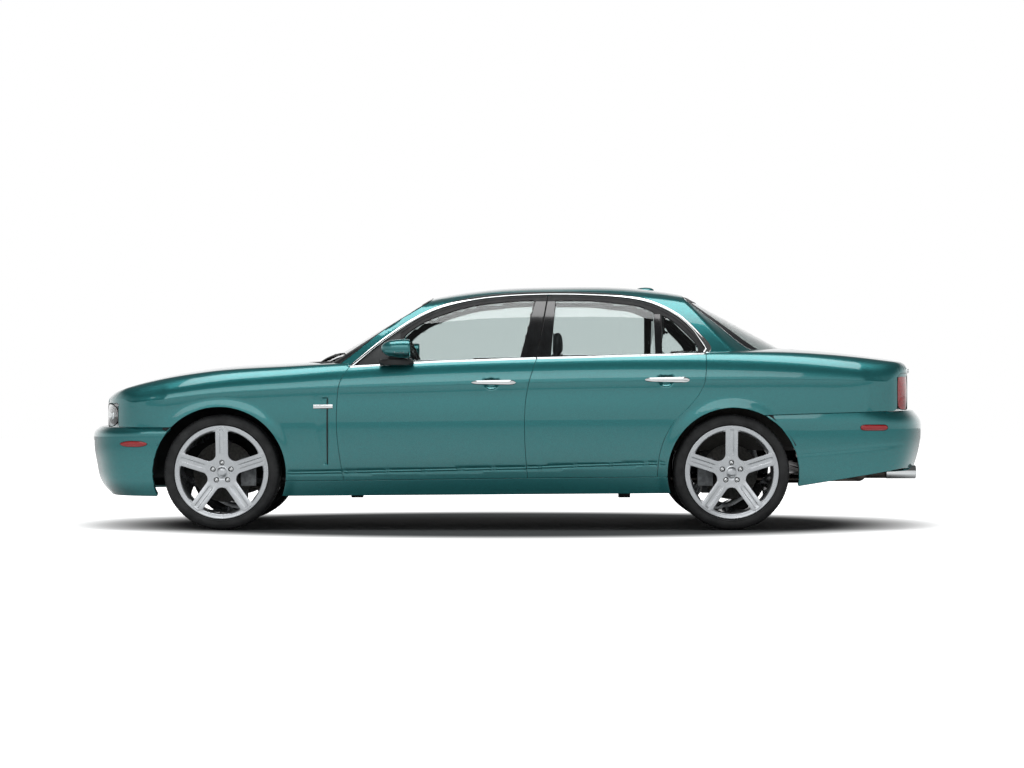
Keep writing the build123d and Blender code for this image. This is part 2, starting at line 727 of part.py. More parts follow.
with BuildPart() as grille:
    add(body)
    add(body_lamp, mode=Mode.SUBTRACT)
    grille_top_z = bonnet_front_z - shut_gap
    add(box(-2700, -2300, -grille_half_w, grille_half_w, bumper_top_z, grille_top_z), mode=Mode.INTERSECT)
    with BuildSketch(Plane.YZ.offset(-2700)):
        with Locations((0, (bumper_top_z + grille_top_z) / 2)):
            with GridLocations(grille_pitch, 0, grille_slots, 1):
                Rectangle(grille_pitch - grille_bar, grille_top_z - bumper_top_z - 2 * grille_frame)
    extrude(amount=2700 + grille_floor_x, mode=Mode.SUBTRACT)
export(grille.part, "grille")

with BuildPart() as headlamps:
    add(body)
    add(body_lamp, mode=Mode.SUBTRACT)
    lamp_room = box(-2700, lamp_back_x, -lamp_span[1], -lamp_span[0], bumper_top_z, bonnet_front_z - shut_gap)
    add(combine(lamp_room, also=[lamp_room.mirror(Plane.XZ)]), mode=Mode.INTERSECT)
export(headlamps.part, "headlamps")

with BuildPart() as tail_lamps:
    add(body)
    add(body_lamp, mode=Mode.SUBTRACT)
    tail_room = box(tail_lamp_x, 2700, -far, -boot_half_w - shut_gap / 2, 714, tail_lamp_z)
    add(combine(tail_room, also=[tail_room.mirror(Plane.XZ)]), mode=Mode.INTERSECT)
export(tail_lamps.part, "tail_lamps")

# ---------------------------------------------------------------- mirrors
mirror_sections = [(-905, 150, 84), (-955, 166, 106), (-1010, 158, 104), (-1050, 120, 76)]  # y, width, height
mirror_x = -664.0
mirror_z = 1082.0
with BuildPart() as mirror_head:
    for y, wide, high in mirror_sections:
        with BuildSketch(Plane.XZ.offset(-y)):
            with Locations((mirror_x, mirror_z)):
                Ellipse(wide / 2, high / 2)
    loft()
mirror_foot = box(mirror_x - 50, mirror_x + 40, -960, -850, 996, 1046)
front_pane = combine(glass_outer, keep=[side_block(front_window, -300, -far)], cut=[glass_inner])
with BuildPart() as door_mirror:
    add(mirror_head.part)
    add(combine(mirror_foot, cut=[front_door, front_pane]))
export_pair(door_mirror.part, "mirror")

# ---------------------------------------------------------------- wheels
def ring(profile):
    """A body turned about the wheel's axle from (distance outboard, radius) points."""
    with BuildPart() as turned:
        with BuildSketch(Plane.YZ):
            with BuildLine():
                Polyline(*([(-out, r) for out, r in profile] + [(-profile[0][0], profile[0][1])]))
            make_face()
        revolve(axis=Axis.Y)
    return turned.part


half_rim = rim_w / 2
bead_w = half_rim - flange_w
drop_r = seat_r - barrel_t
rim_profile = [
    (-half_rim, rim_r), (-bead_w, rim_r), (-bead_w, seat_r), (bead_w, seat_r), (bead_w, rim_r),
    (half_rim, rim_r), (half_rim, seat_r), (bead_w - 12, drop_r), (-bead_w, drop_r), (-half_rim, seat_r),
]
half_tyre = tyre_w / 2
tyre_profile = [
    (-bead_w, rim_r + bead_gap), (-half_tyre, tyre_r - shoulder_h), (-half_tyre + shoulder_w, tyre_r),
    (half_tyre - shoulder_w, tyre_r), (half_tyre, tyre_r - shoulder_h), (bead_w, rim_r + bead_gap),
]
face_out = half_rim - spoke_dish
face_back = face_out - spoke_t
bore_r = spindle_r + spindle_clearance
window_out = drop_r - 8
half_step = math.pi / spoke_count
window_mid = spoke_w / 2 / math.sin(half_step)  # where the edges of two neighbouring spokes meet
window_start = window_mid + 42
window_edge = (window_start - window_mid) * math.tan(half_step)
window_turn = half_step - math.asin(spoke_w / 2 / window_out)
window_tip = (window_out * math.cos(window_turn), window_out * math.sin(window_turn))
with BuildSketch() as window:
    with BuildLine():
        ThreePointArc(window_tip, (window_out, 0), (window_tip[0], -window_tip[1]))
        window_foot = [(window_tip[0], -window_tip[1]), (window_start, -window_edge)]
        Polyline(*window_foot, (window_start, window_edge), window_tip)
    make_face()
    fillet(window.vertices(), window_fillet)

with BuildPart() as rim:
    add(ring(rim_profile))
    with BuildSketch(Plane.XZ.offset(face_back)):
        Circle(drop_r + 2)
        with PolarLocations(0, spoke_count, start_angle=90 + 180 / spoke_count):
            add(window.sketch, mode=Mode.SUBTRACT)
    extrude(amount=spoke_t)
    with BuildSketch(Plane.XZ.offset(pad_out)):
        Circle(hub_r)
    extrude(amount=face_back - pad_out)
    with BuildSketch(Plane.XZ.offset(face_out)):
        with PolarLocations(nut_circle_r, spoke_count, start_angle=90 + 180 / spoke_count):
            Circle(nut_recess_r)
    extrude(amount=-nut_recess_depth, mode=Mode.SUBTRACT)
    with BuildSketch(Plane.XZ.offset(pad_out)):
        Circle(bore_r)
    extrude(amount=face_out - 20 - pad_out, mode=Mode.SUBTRACT)
    with BuildSketch(Plane.XZ.offset(face_out)):
        with PolarLocations(0, spoke_count, start_angle=90):
            for side in (1, -1):
                with Locations(((groove_span[0] + groove_span[1]) / 2, side * groove_y)):
                    SlotOverall(groove_span[1] - groove_span[0], groove_w)
    extrude(amount=-groove_t, mode=Mode.SUBTRACT)

# a tyre of flat facets, which stands on one of its corners and whose bore clears the bead seat
with BuildPart() as tyre:
    for out, radius in tyre_profile:
        with BuildSketch(Plane.XZ.offset(out)):
            RegularPolygon(radius, tyre_sides)
    loft(ruled=True)
    with BuildSketch(Plane.XZ.offset(-half_tyre)):
        RegularPolygon(seat_r, tyre_sides, major_radius=False)
    extrude(amount=tyre_w, mode=Mode.SUBTRACT)
tyre = tyre.part


def brake_disc(radius):
    """A brake disc with its bell, which meets the rim's pad and clears the spindle."""
    near = disc_out - disc_t / 2
    edge = disc_out + disc_t / 2
    bell = [(edge, hat_r), (pad_out, hat_r), (pad_out, bore_r)]
    return ring([(near, bore_r), (near, radius), (edge, radius)] + bell)


def carrier(disc_r, way):
    """What holds a left-hand wheel at Y 0: upright, spindle, and the caliper on the side way points to."""
    back = -kingpin_inset
    near = disc_out - disc_t / 2 - caliper_gap
    edge = disc_out + disc_t / 2 + caliper_gap
    x_in, x_out = sorted((way * caliper_in, way * caliper_out))
    arm_in, arm_out = sorted((0, way * (caliper_in + 40)))
    with BuildPart() as post:
        y_mid, half_t = -back, upright_t / 2
        add(box(-upright_w / 2, upright_w / 2, y_mid - half_t, y_mid + half_t, -upright_z, upright_z))
        with BuildSketch(Plane.XZ.offset(back)):
            Circle(spindle_r)
        extrude(amount=face_out - 30 - back)
        add(box(x_in, x_out, -edge - caliper_t, -near + caliper_t, -caliper_z, caliper_z))
        add(box(arm_in, arm_out, -near, -back + upright_t / 2, -35, 35))
        with BuildSketch(Plane.XZ.offset(near)):
            Circle(disc_r + caliper_gap)
        extrude(amount=edge - near, mode=Mode.SUBTRACT)
        with BuildSketch(Plane.XZ.offset(near)):
            Circle(spindle_r)
        extrude(amount=edge - near)
    return post.part


upright_w = 70.0
upright_t = 44.0
upright_z = 150.0
caliper_in = 105.0
caliper_out = 196.0
caliper_z = 84.0
pin_r = 22.0
pin_gap = 2.0
arm_w = 60.0
arm_t = 30.0
kingpin_y = wheel_y - kingpin_inset
corners = (("front", front_x, front_disc_r), ("rear", rear_x, rear_disc_r))
for name, x, disc_r in corners:
    place = Location((x, -wheel_y, wheel_z))
    for piece, kind in ((rim.part, "rim"), (tyre, "tyre"), (brake_disc(disc_r), "brake_disc")):
        with BuildPart() as set_piece:
            add(piece.moved(place))
        export_pair(set_piece.part, f"{name}_{kind}")

with BuildPart() as knuckle:
    add(carrier(front_disc_r, 1).moved(Location((front_x, -wheel_y, wheel_z))))
export_pair(knuckle.part, "front_knuckle")

# ---------------------------------------------------------------- suspension, engine and exhaust
arm_low_z = wheel_z - upright_z - pin_gap - arm_t
arm_high_z = wheel_z + upright_z + pin_gap
with BuildPart() as front_suspension:
    add(box(front_x - 60, front_x + 60, -330, 330, arm_low_z - 10, arm_low_z + 70))
    for side in (1, -1):
        y_out = side * kingpin_y
        y_in, y_wall = side * 330, side * (rail_y + panel_t)
        for z, y_start in ((arm_low_z, y_in), (arm_high_z, y_wall)):
            y_end = y_out - side * pin_r
            y0, y1 = sorted((y_end, y_start))
            add(box(front_x - arm_w / 2, front_x + arm_w / 2, y0, y1, z, z + arm_t))
            add(box(front_x - pin_r, front_x + pin_r, min(y_out, y_start), max(y_out, y_start), z, z + arm_t))
            with BuildSketch(Plane.XY.offset(z)):
                with Locations((front_x, y_out)):
                    Circle(pin_r)
            extrude(amount=arm_t)
export(front_suspension.part, "front_suspension")

with BuildPart() as rear_suspension:
    for z in (wheel_z - upright_z, wheel_z + 90):
        add(box(rear_x - arm_w / 2, rear_x + arm_w / 2, -kingpin_y, kingpin_y, z, z + arm_t))
    add(box(rear_x - 130, rear_x + 130, -80, 80, wheel_z - upright_z, wheel_z + 90 + arm_t))
    hub = carrier(rear_disc_r, -1).moved(Location((rear_x, -wheel_y, wheel_z)))
    add(hub)
    mirror(hub, about=Plane.XZ)
export(rear_suspension.part, "rear_suspension")

engine_back_x = -1300.0
with BuildPart() as engine:
    add(box(-2020, engine_back_x, -300, 300, 240, 740))
    fillet(engine.edges().filter_by(Axis.X), 40)
export(engine.part, "engine")

pipe_y = 116.0
pipe_r = 27.0
pipe_z = 285.0
silencer_x = 1780.0
with BuildPart() as exhaust:
    add(box(silencer_x, silencer_x + 380, -tip_y - 60, tip_y + 60, tip_z - 55, tip_z + 60))
    fillet(exhaust.edges().filter_by(Axis.Y), 50)
    for side in (1, -1):
        with BuildSketch(Plane.YZ.offset(engine_back_x)):
            with Locations((side * pipe_y, pipe_z)):
                Circle(pipe_r)
        extrude(amount=silencer_x + 20 - engine_back_x)
        with BuildSketch(Plane.YZ.offset(silencer_x + 360)):
            with Locations((side * tip_y, tip_z)):
                Circle(tip_r)
        extrude(amount=tip_x - silencer_x - 360)
        with BuildSketch(Plane.YZ.offset(tip_x - 120)):
            with Locations((side * tip_y, tip_z)):
                Circle(tip_r - 4)
        extrude(amount=120, mode=Mode.SUBTRACT)
export(exhaust.part, "exhaust")

# ---------------------------------------------------------------- underbody and cabin structure
with BuildPart() as engine_bay:
    for side in (1, -1):
        y0, y1 = sorted((side * rail_y, side * (rail_y + panel_t)))
        add(box(front_panel_x, firewall_x, y0, y1, 300, wall_top_z))
        liner_y0, liner_y1 = sorted((side * (rail_y + panel_t - 1), side * liner_y))
        liner_r = front_arch[2] + liner_gap
        liner = combine(
            cylinder_y(front_arch[0], wheel_z, liner_r + liner_t, liner_y1, liner_y0),
            keep=[box(-2700, 0, liner_y0, liner_y1, liner_foot_z, 1200)],
            cut=[cylinder_y(front_arch[0], wheel_z, liner_r, liner_y1, liner_y0)],
        )
        add(liner)
        rail = plan_strip(bonnet_half_w, 0, 40, -2150, firewall_x, wall_top_z - 2, wing_rail_z)
        add(rail if side < 0 else rail.mirror(Plane.XZ))
    add(box(front_panel_x, front_panel_x + panel_t, -rail_y, rail_y, 300, 740))
export(engine_bay.part, "engine_bay")

cowl_area = side_block([(-1300, 900), (-1000, 900), (-1000, 1200), (-1300, 1200)], 788, -788)
with BuildPart() as bulkhead:
    firewall = box(firewall_x, firewall_x + panel_t, -cabin_y, cabin_y, floor_z + floor_t, 1200)
    add(combine(firewall, keep=[body_wing], cut=[box(-1100, 0, -tunnel_w, tunnel_w, 0, tunnel_z + floor_t)]))
    add(combine(body, keep=[cowl_area], cut=[body_wing]))
    with BuildSketch():
        with BuildLine():
            cowl_edge = [(x + 2 * shut_gap, y) for x, y in bonnet_tail]
            edge_x, edge_y = cowl_edge[-1]
            Spline(*([(x, -y) for x, y in reversed(cowl_edge[1:])] + cowl_edge))
            Polyline((edge_x, edge_y), (-1600, edge_y), (-1600, -edge_y), (edge_x, -edge_y))
        make_face()
    extrude(amount=full_height, mode=Mode.SUBTRACT)
    for side in (1, -1):
        add(box(-1110, -1034, side * 800 - 40, side * 800 + 40, 0, full_height), mode=Mode.SUBTRACT)
export(bulkhead.part, "bulkhead")

floor_front = firewall_x + panel_t
floor_back = 960.0
with BuildPart() as floor_pan:
    for side in (1, -1):
        y0, y1 = sorted((side * tunnel_w, side * cabin_y))
        add(box(floor_front, floor_back, y0, y1, floor_z, floor_z + floor_t))
        y0, y1 = sorted((side * tunnel_w, side * (tunnel_w + floor_t)))
        add(box(floor_front, floor_back, y0, y1, floor_z, tunnel_z + floor_t))
    add(box(floor_front, floor_back, -tunnel_w, tunnel_w, tunnel_z, tunnel_z + floor_t))
    step_y = boot_y + panel_t
    add(box(floor_back, floor_back + panel_t, -step_y, step_y, tunnel_z, boot_floor_z + panel_t))
    add(box(floor_back - 1, floor_back + 1, -step_y, step_y, tunnel_z, tunnel_z + floor_t))
    for side in (1, -1):
        y0, y1 = sorted((side * tunnel_w, side * (boot_y + panel_t)))
        add(box(floor_back, floor_back + panel_t, y0, y1, floor_z, tunnel_z + floor_t))
        for x in jack_x:
            y0, y1 = sorted((side * (cabin_y - jack_w), side * cabin_y))
            add(box(x - jack_w / 2, x + jack_w / 2, y0, y1, jack_z, floor_z + floor_t))
export(floor_pan.part, "floor_pan")

boot_start = floor_back + panel_t
boot_end = boot_back_x + panel_t
with BuildPart() as boot_tub:
    add(box(boot_start, boot_end, -boot_y - panel_t, boot_y + panel_t, boot_floor_z, boot_floor_z + panel_t))
    add(box(boot_back_x, boot_end, -boot_y - panel_t, boot_y + panel_t, boot_floor_z, 690))
    add(box(seat_back_x, seat_back_x + panel_t, -boot_y, boot_y, boot_floor_z, shelf_z))
    add(box(seat_back_x, boot_front_x, -boot_y, boot_y, shelf_z - panel_t, shelf_z))
    for side in (1, -1):
        y0, y1 = sorted((side * boot_y, side * (boot_y + panel_t)))
        add(box(boot_start, boot_end, y0, y1, boot_floor_z, 700))
        add(box(boot_start + 200, 2270, y0, y1, 690, boot_wall_z))
        y0, y1 = sorted((side * boot_y, side * (boot_half_w + shut_gap / 2 + flange_t)))
        add(box(1500, 2270, y0, y1, boot_wall_z - panel_t, boot_wall_z))
        liner_y0, liner_y1 = sorted((side * (boot_y + panel_t - 1), side * liner_y))
        liner_r = rear_arch[2] + liner_gap
        liner = combine(
            cylinder_y(rear_arch[0], wheel_z, liner_r + liner_t, liner_y1, liner_y0),
            keep=[box(0, 2700, liner_y0, liner_y1, liner_foot_z, 1200)],
            cut=[cylinder_y(rear_arch[0], wheel_z, liner_r, liner_y1, liner_y0)],
        )
        add(liner)
    scuttle_area = box(1400, boot_front_x - shut_gap, -scuttle_y, scuttle_y, scuttle_wall_z, full_height)
    add(combine(body, keep=[scuttle_area], cut=[body_wing, top]))
    wall_back_x = scuttle_wall_x + panel_t
    wall = box(scuttle_wall_x, wall_back_x, -scuttle_y, scuttle_y, scuttle_wall_z, full_height)
    add(combine(wall, keep=[body]))
export(boot_tub.part, "boot_tub")

# pillars: hinge post and middle post, each from the sill up
post_t = post_y - cabin_y
middle_outer = cabin(frame_t + 12)
middle_inner = cabin(frame_t + 12 + 46)
with BuildPart() as pillars:
    add(box(firewall_x + panel_t, -948, -post_y, -cabin_y, 292, 930))
    add(box(84, 190, -post_y, -cabin_y, 292, 960))
    upper = side_block([(110, 940), (190, 940), (286, 1440), (206, 1440)], -300, -far)
    add(combine(middle_outer, keep=[upper], cut=[middle_inner]))
    add(sill.part, mode=Mode.SUBTRACT)
export_both(pillars.part, "pillars")

# ---------------------------------------------------------------- cabin
seat_side = [(-290, 430), (-290, 520), (-150, 560), (150, 530), (222, 990), (250, 1042), (322, 1042)]
seat_side += [(340, 990), (330, 700), (240, 430)]
rest_side = [(262, 1068), (268, 1190), (290, 1208), (322, 1206), (338, 1180), (334, 1068)]
rest_w = 270.0
rest_pin = 12.0
rest_pin_x = 296.0
seat_y = (130.0, 630.0)
seat_base_z = 430.0
with BuildPart() as front_seats:
    for side in (1, -1):
        y0, y1 = sorted((side * seat_y[0], side * seat_y[1]))
        add(side_block(seat_side, y1, y0))
        y_mid = (y0 + y1) / 2
        add(side_block(rest_side, y_mid + rest_w / 2, y_mid - rest_w / 2))
        for y in (y_mid - rest_w / 4, y_mid + rest_w / 4):
            half_pin = rest_pin / 2
            add(box(rest_pin_x, rest_pin_x + rest_pin, y - half_pin, y + half_pin, 1030, 1080))
        side_y0, side_y1 = sorted((side * (tunnel_w + floor_t + 30), side * (seat_y[1] - 40)))
        add(box(-200, 200, side_y0, side_y1, floor_z + floor_t, seat_base_z))
export(front_seats.part, "front_seats")

rear_seat_side = [(700, 430), (690, 560), (1080, 540), (1180, 1040), (1262, 1040), (1262, 496), (950, 496)]
rear_seat_side += [(950, 430)]
with BuildPart() as rear_seat:
    add(side_block(rear_seat_side, 600, -600))
    add(box(700, 950, -600, -tunnel_w - floor_t, floor_z + floor_t, 430))
    add(box(700, 950, tunnel_w + floor_t, 600, floor_z + floor_t, 430))
export(rear_seat.part, "rear_seat")

wheel_tilt = 25.0
driver_y = -370.0
steering_x = -520.0
steering_z = 955.0
steering_r = 178.0
steering_plane = Plane(
    origin=(steering_x, driver_y, steering_z),
    x_dir=(0, 1, 0),
    z_dir=(math.cos(math.radians(wheel_tilt)), 0, math.sin(math.radians(wheel_tilt))),
)
dash_side = [(-1010, 620), (-1010, 900), (-960, 950), (-740, 960), (-690, 930), (-700, 800), (-760, 640)]
with BuildPart() as dashboard:
    add(side_block(dash_side, 740, -740))
    with BuildSketch(steering_plane.offset(-40)):
        Circle(32)
    extrude(amount=-190)
export(dashboard.part, "dashboard")

with BuildPart() as steering_wheel:
    across_plane = Plane(steering_plane.origin, x_dir=steering_plane.z_dir, z_dir=-steering_plane.y_dir)
    with BuildSketch(across_plane):
        with Locations((0, steering_r)):
            Circle(15)
    ring_axis = Axis(steering_plane.origin, steering_plane.z_dir)
    revolve(axis=ring_axis)
    with BuildSketch(steering_plane.offset(-34)):
        Circle(62)
    extrude(amount=30)
    with BuildSketch(steering_plane.offset(-20)):
        Rectangle(2 * steering_r, 34)
        with Locations((0, -steering_r / 2)):
            Rectangle(34, steering_r)
    extrude(amount=14)
export(steering_wheel.part, "steering_wheel")
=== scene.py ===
from math import asin, cos, degrees, pi, radians, sin, sqrt

import bmesh
import bpy
import numpy as np
from mathutils import Matrix, Vector
from mathutils.geometry import delaunay_2d_cdt


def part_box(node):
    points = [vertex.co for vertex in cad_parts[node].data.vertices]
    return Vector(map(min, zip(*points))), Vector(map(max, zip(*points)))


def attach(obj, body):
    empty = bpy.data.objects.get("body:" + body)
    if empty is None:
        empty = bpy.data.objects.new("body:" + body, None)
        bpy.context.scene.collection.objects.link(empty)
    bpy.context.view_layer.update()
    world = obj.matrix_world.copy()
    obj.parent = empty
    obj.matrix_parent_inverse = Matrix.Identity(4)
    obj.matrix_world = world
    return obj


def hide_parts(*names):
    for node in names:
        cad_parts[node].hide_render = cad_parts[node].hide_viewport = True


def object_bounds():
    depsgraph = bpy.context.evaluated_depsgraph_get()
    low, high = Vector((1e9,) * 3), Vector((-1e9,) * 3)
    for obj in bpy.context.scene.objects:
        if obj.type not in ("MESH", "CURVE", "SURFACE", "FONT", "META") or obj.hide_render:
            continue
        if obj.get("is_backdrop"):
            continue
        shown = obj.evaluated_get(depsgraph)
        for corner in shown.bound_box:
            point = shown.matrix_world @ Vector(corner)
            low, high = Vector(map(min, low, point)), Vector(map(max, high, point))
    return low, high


norm = np.linalg.norm
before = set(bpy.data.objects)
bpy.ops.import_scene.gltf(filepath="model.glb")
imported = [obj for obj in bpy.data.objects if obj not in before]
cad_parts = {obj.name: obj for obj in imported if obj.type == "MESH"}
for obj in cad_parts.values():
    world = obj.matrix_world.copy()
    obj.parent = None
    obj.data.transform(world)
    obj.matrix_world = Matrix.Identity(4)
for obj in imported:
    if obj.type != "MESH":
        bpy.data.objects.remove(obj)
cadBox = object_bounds()
print("frame loaded")

mm = 0.001  # shapes are worked out in millimetres and built in metres
camera = {"x": 27, "distance": 20000, "height": 870, "lens": 113.0}


def boxOf(node):
    low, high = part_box(node)
    return np.array(low) / mm, np.array(high) / mm


# small maths

def columns(*parts):  # one point a row, from lists of numbers and single numbers
    return np.stack(np.broadcast_arrays(*parts), -1)


def smoothStep(t):
    t = np.clip(t, 0, 1)
    return t * t * (3 - 2 * t)


def smoothMin(a, b, k):
    h = np.clip(0.5 + 0.5 * (b - a) / k, 0, 1)
    return b * (1 - h) + a * h - k * h * (1 - h)


def hermite(a, b, sa, sb, t):  # from a to b with those slopes
    return a + sa * t + (3 * (b - a) - 2 * sa - sb) * t**2 + (2 * (a - b) + sa + sb) * t**3


def rowSpline(rows):  # smooth curves through rows of numbers, read at the first one
    keys = np.array([row[0] for row in rows], float)
    values = np.array([row[1:] for row in rows], float)
    slopes = np.gradient(values, keys, axis=0)

    def at(x):
        x = np.clip(np.asarray(x, float), keys[0], keys[-1])
        i = np.clip(np.searchsorted(keys, x, side="right") - 1, 0, len(keys) - 2)
        span = (keys[i + 1] - keys[i])[..., None]
        t = (x - keys[i])[..., None] / span
        return hermite(values[i], values[i + 1], slopes[i] * span, slopes[i + 1] * span, t)

    return at


def bezier(points, t):
    t = t[:, None]
    while len(points) > 1:
        points = [a + (b - a) * t for a, b in zip(points, points[1:])]
    return points[0]


def curveThrough(points, step):  # a smooth line through points, sampled about every step
    p = np.array(points, float)
    line = []
    for i in range(len(p) - 1):
        run = norm(p[i + 1] - p[i])
        before, after = p[max(i - 1, 0)], p[min(i + 2, len(p) - 1)]
        sa = (p[i + 1] - before) * run / (run + (norm(p[i] - before) or run))
        sb = (after - p[i]) * run / (run + (norm(after - p[i + 1]) or run))
        count = max(1, int(round(run / step)))
        line += [hermite(p[i], p[i + 1], sa, sb, k / count) for k in range(count)]
    return np.array(line + [p[-1]])


def straightLine(points, step):
    p = np.array(points, float)
    line = [p[0]]
    for a, b in zip(p, p[1:]):
        count = max(1, int(round(norm(b - a) / step)))
        line += [a + (b - a) * k / count for k in range(1, count + 1)]
    return np.array(line)


def arcLine(centre, radius, start, end, step):  # angles in degrees
    count = max(2, int(abs(radians(end - start)) * radius / step))
    angles = np.radians(np.linspace(start, end, count + 1))
    return np.array(centre) + radius * columns(np.cos(angles), np.sin(angles))


def joined(*lines):  # one line from several, without doubled ends
    out = []
    for line in lines:
        for point in line:
            if not out or norm(np.array(point) - out[-1]) > 0.6:
                out.append(np.array(point, float))
    return np.array(out)


def insideLoop(points, loop):
    x, y = points[:, 0][:, None], points[:, 1][:, None]
    a, b = loop, np.roll(loop, -1, axis=0)
    crosses = (a[:, 1] > y) != (b[:, 1] > y)
    run = np.where(b[:, 1] == a[:, 1], 1e-9, b[:, 1] - a[:, 1])
    left = x < (b[:, 0] - a[:, 0]) * (y - a[:, 1]) / run + a[:, 0]
    return (crosses & left).sum(axis=1) % 2 == 1


def nearest(points, starts, ends):  # distance from each point to the nearest of some straight pieces
    best = np.full(len(points), 1e9)
    for p, q in zip(starts, ends):
        d = q - p
        t = np.clip(((points - p) @ d) / max(d @ d, 1e-9), 0, 1)
        best = np.minimum(best, norm(points - p - t[:, None] * d, axis=1))
    return best


def distanceTo(points, loop):
    return nearest(points, loop, np.roll(loop, -1, axis=0))


def signedArea(loop):
    x, y = loop[:, 0], loop[:, 1]
    return 0.5 * np.sum(x * np.roll(y, -1) - np.roll(x, -1) * y)


# mesh builders

def flatPatch(outline, holes, step, lines=()):  # triangles over a flat area, with rows of points along lines
    loops = [np.asarray(loop, float) for loop in [outline, *holes]]
    loops = [loop[:-1] if norm(loop[0] - loop[-1]) < 0.6 else loop for loop in loops]
    low, high = loops[0].min(axis=0), loops[0].max(axis=0)
    gx, gy = np.meshgrid(np.arange(low[0] + step / 2, high[0], step), np.arange(low[1] + step / 2, high[1], step))

    def within(points, margins):  # inside the outline, outside the holes, and clear of their edges
        keep = insideLoop(points, loops[0])
        for number, loop in enumerate(loops):
            if number:
                keep &= ~insideLoop(points, loop)
            margin = margins[min(number, 1)]
            if margin:
                keep &= distanceTo(points, loop) > margin
        return points[keep]

    inner = within(columns(gx.ravel(), gy.ravel()), (step * 0.45, step * 0.45))
    if len(lines):
        near = np.concatenate([within(np.asarray(line, float), (2.5, 0)) for line in lines])
        gap = np.full(len(inner), 1e9)
        for k in range(0, len(near), 400):
            gap = np.minimum(gap, norm(inner[:, None] - near[k:k + 400][None], axis=2).min(axis=1))
        inner = np.concatenate([inner[gap > step * 0.4], near])
    edges, start = [], 0
    for loop in loops:
        count = len(loop)
        edges += [(start + k, start + (k + 1) % count) for k in range(count)]
        start += count
    found = delaunay_2d_cdt([Vector(p) for p in np.concatenate(loops + [inner])], edges, [], 0, 1e-4)
    points = np.array([tuple(v) for v in found[0]])
    faces = np.array([face for face in found[2] if len(face) == 3])
    centres = points[faces].mean(axis=1)
    good = insideLoop(centres, loops[0])
    for hole in loops[1:]:
        good &= ~insideLoop(centres, hole)
    faces = faces[good]
    a, b, c = np.moveaxis(points[faces], 1, 0)
    turn = (b[:, 0] - a[:, 0]) * (c[:, 1] - a[:, 1]) - (b[:, 1] - a[:, 1]) * (c[:, 0] - a[:, 0])
    sound = np.abs(turn) > 1e-3
    faces, turn = faces[sound], turn[sound]
    faces[turn < 0] = faces[turn < 0][:, ::-1]
    return points, faces.tolist()


def gridPatch(rows, wrap=False):  # rows of points, joined by quads
    rows = np.asarray(rows, float)
    n, m = rows.shape[:2]
    faces = []
    for i in range(n - 1):
        for j in range(m if wrap else m - 1):
            k = (j + 1) % m
            faces.append([i * m + j, i * m + k, (i + 1) * m + k, (i + 1) * m + j])
    return rows.reshape(-1, 3), faces


def endCaps(n, m):  # the two ends of n rings of m points
    return [list(range(m))[::-1], [(n - 1) * m + j for j in range(m)]]


def unit(rows):  # vectors brought to length 1
    return rows / np.maximum(norm(rows, axis=1), 1e-9)[:, None]


def vertexNormals(points, faces):
    normals = np.zeros_like(points)
    for face in faces:
        corner = points[face]
        n = np.cross(corner[1] - corner[0], corner[2] - corner[0])
        if len(face) == 4:
            n = n + np.cross(corner[2] - corner[0], corner[3] - corner[0])
        normals[face] += n
    return unit(normals)


def rimLoops(faces):  # ordered borders of an open patch
    seen = {pair for face in faces for pair in zip(face, face[1:] + face[:1])}
    ahead = {}
    for a, b in sorted(seen):
        if (b, a) not in seen:
            ahead.setdefault(a, []).append(b)
    loops = []
    while ahead:
        start = spot = next(iter(ahead))
        loop = []
        while spot in ahead:
            loop.append(spot)
            following = ahead[spot].pop()
            if not ahead[spot]:
                del ahead[spot]
            spot = following
            if spot == start:
                break
        loops.append(loop)
    return loops


def facingOut(points, faces, inside):  # an open patch turned to face away from a place
    middles = np.array([points[face].mean(axis=0) for face in faces]) - np.asarray(inside, float)
    turns = np.array([np.cross(points[f[1]] - points[f[0]], points[f[2]] - points[f[0]]) for f in faces])
    return points, faces if np.sum(middles * turns) >= 0 else [face[::-1] for face in faces]


def linked(name, data):
    obj = bpy.data.objects.new(name, data)
    bpy.context.scene.collection.objects.link(obj)
    return obj


def makeObject(name, points, faces, mats, picks=None, normals=None, smooth=True):
    mesh = bpy.data.meshes.new(name)
    mesh.from_pydata((np.asarray(points) * mm).tolist(), [], [list(map(int, f)) for f in faces])
    obj = linked(name, mesh)
    for mat in mats if isinstance(mats, (list, tuple)) else [mats]:
        mesh.materials.append(mat)
    if picks is not None:
        mesh.polygons.foreach_set("material_index", np.asarray(picks, np.int32))
    mesh.validate()
    mesh.polygons.foreach_set("use_smooth", [smooth] * len(mesh.polygons))
    if normals is not None and len(mesh.vertices) == len(normals):
        mesh.normals_split_custom_set_from_vertices(normals.tolist())
    return obj


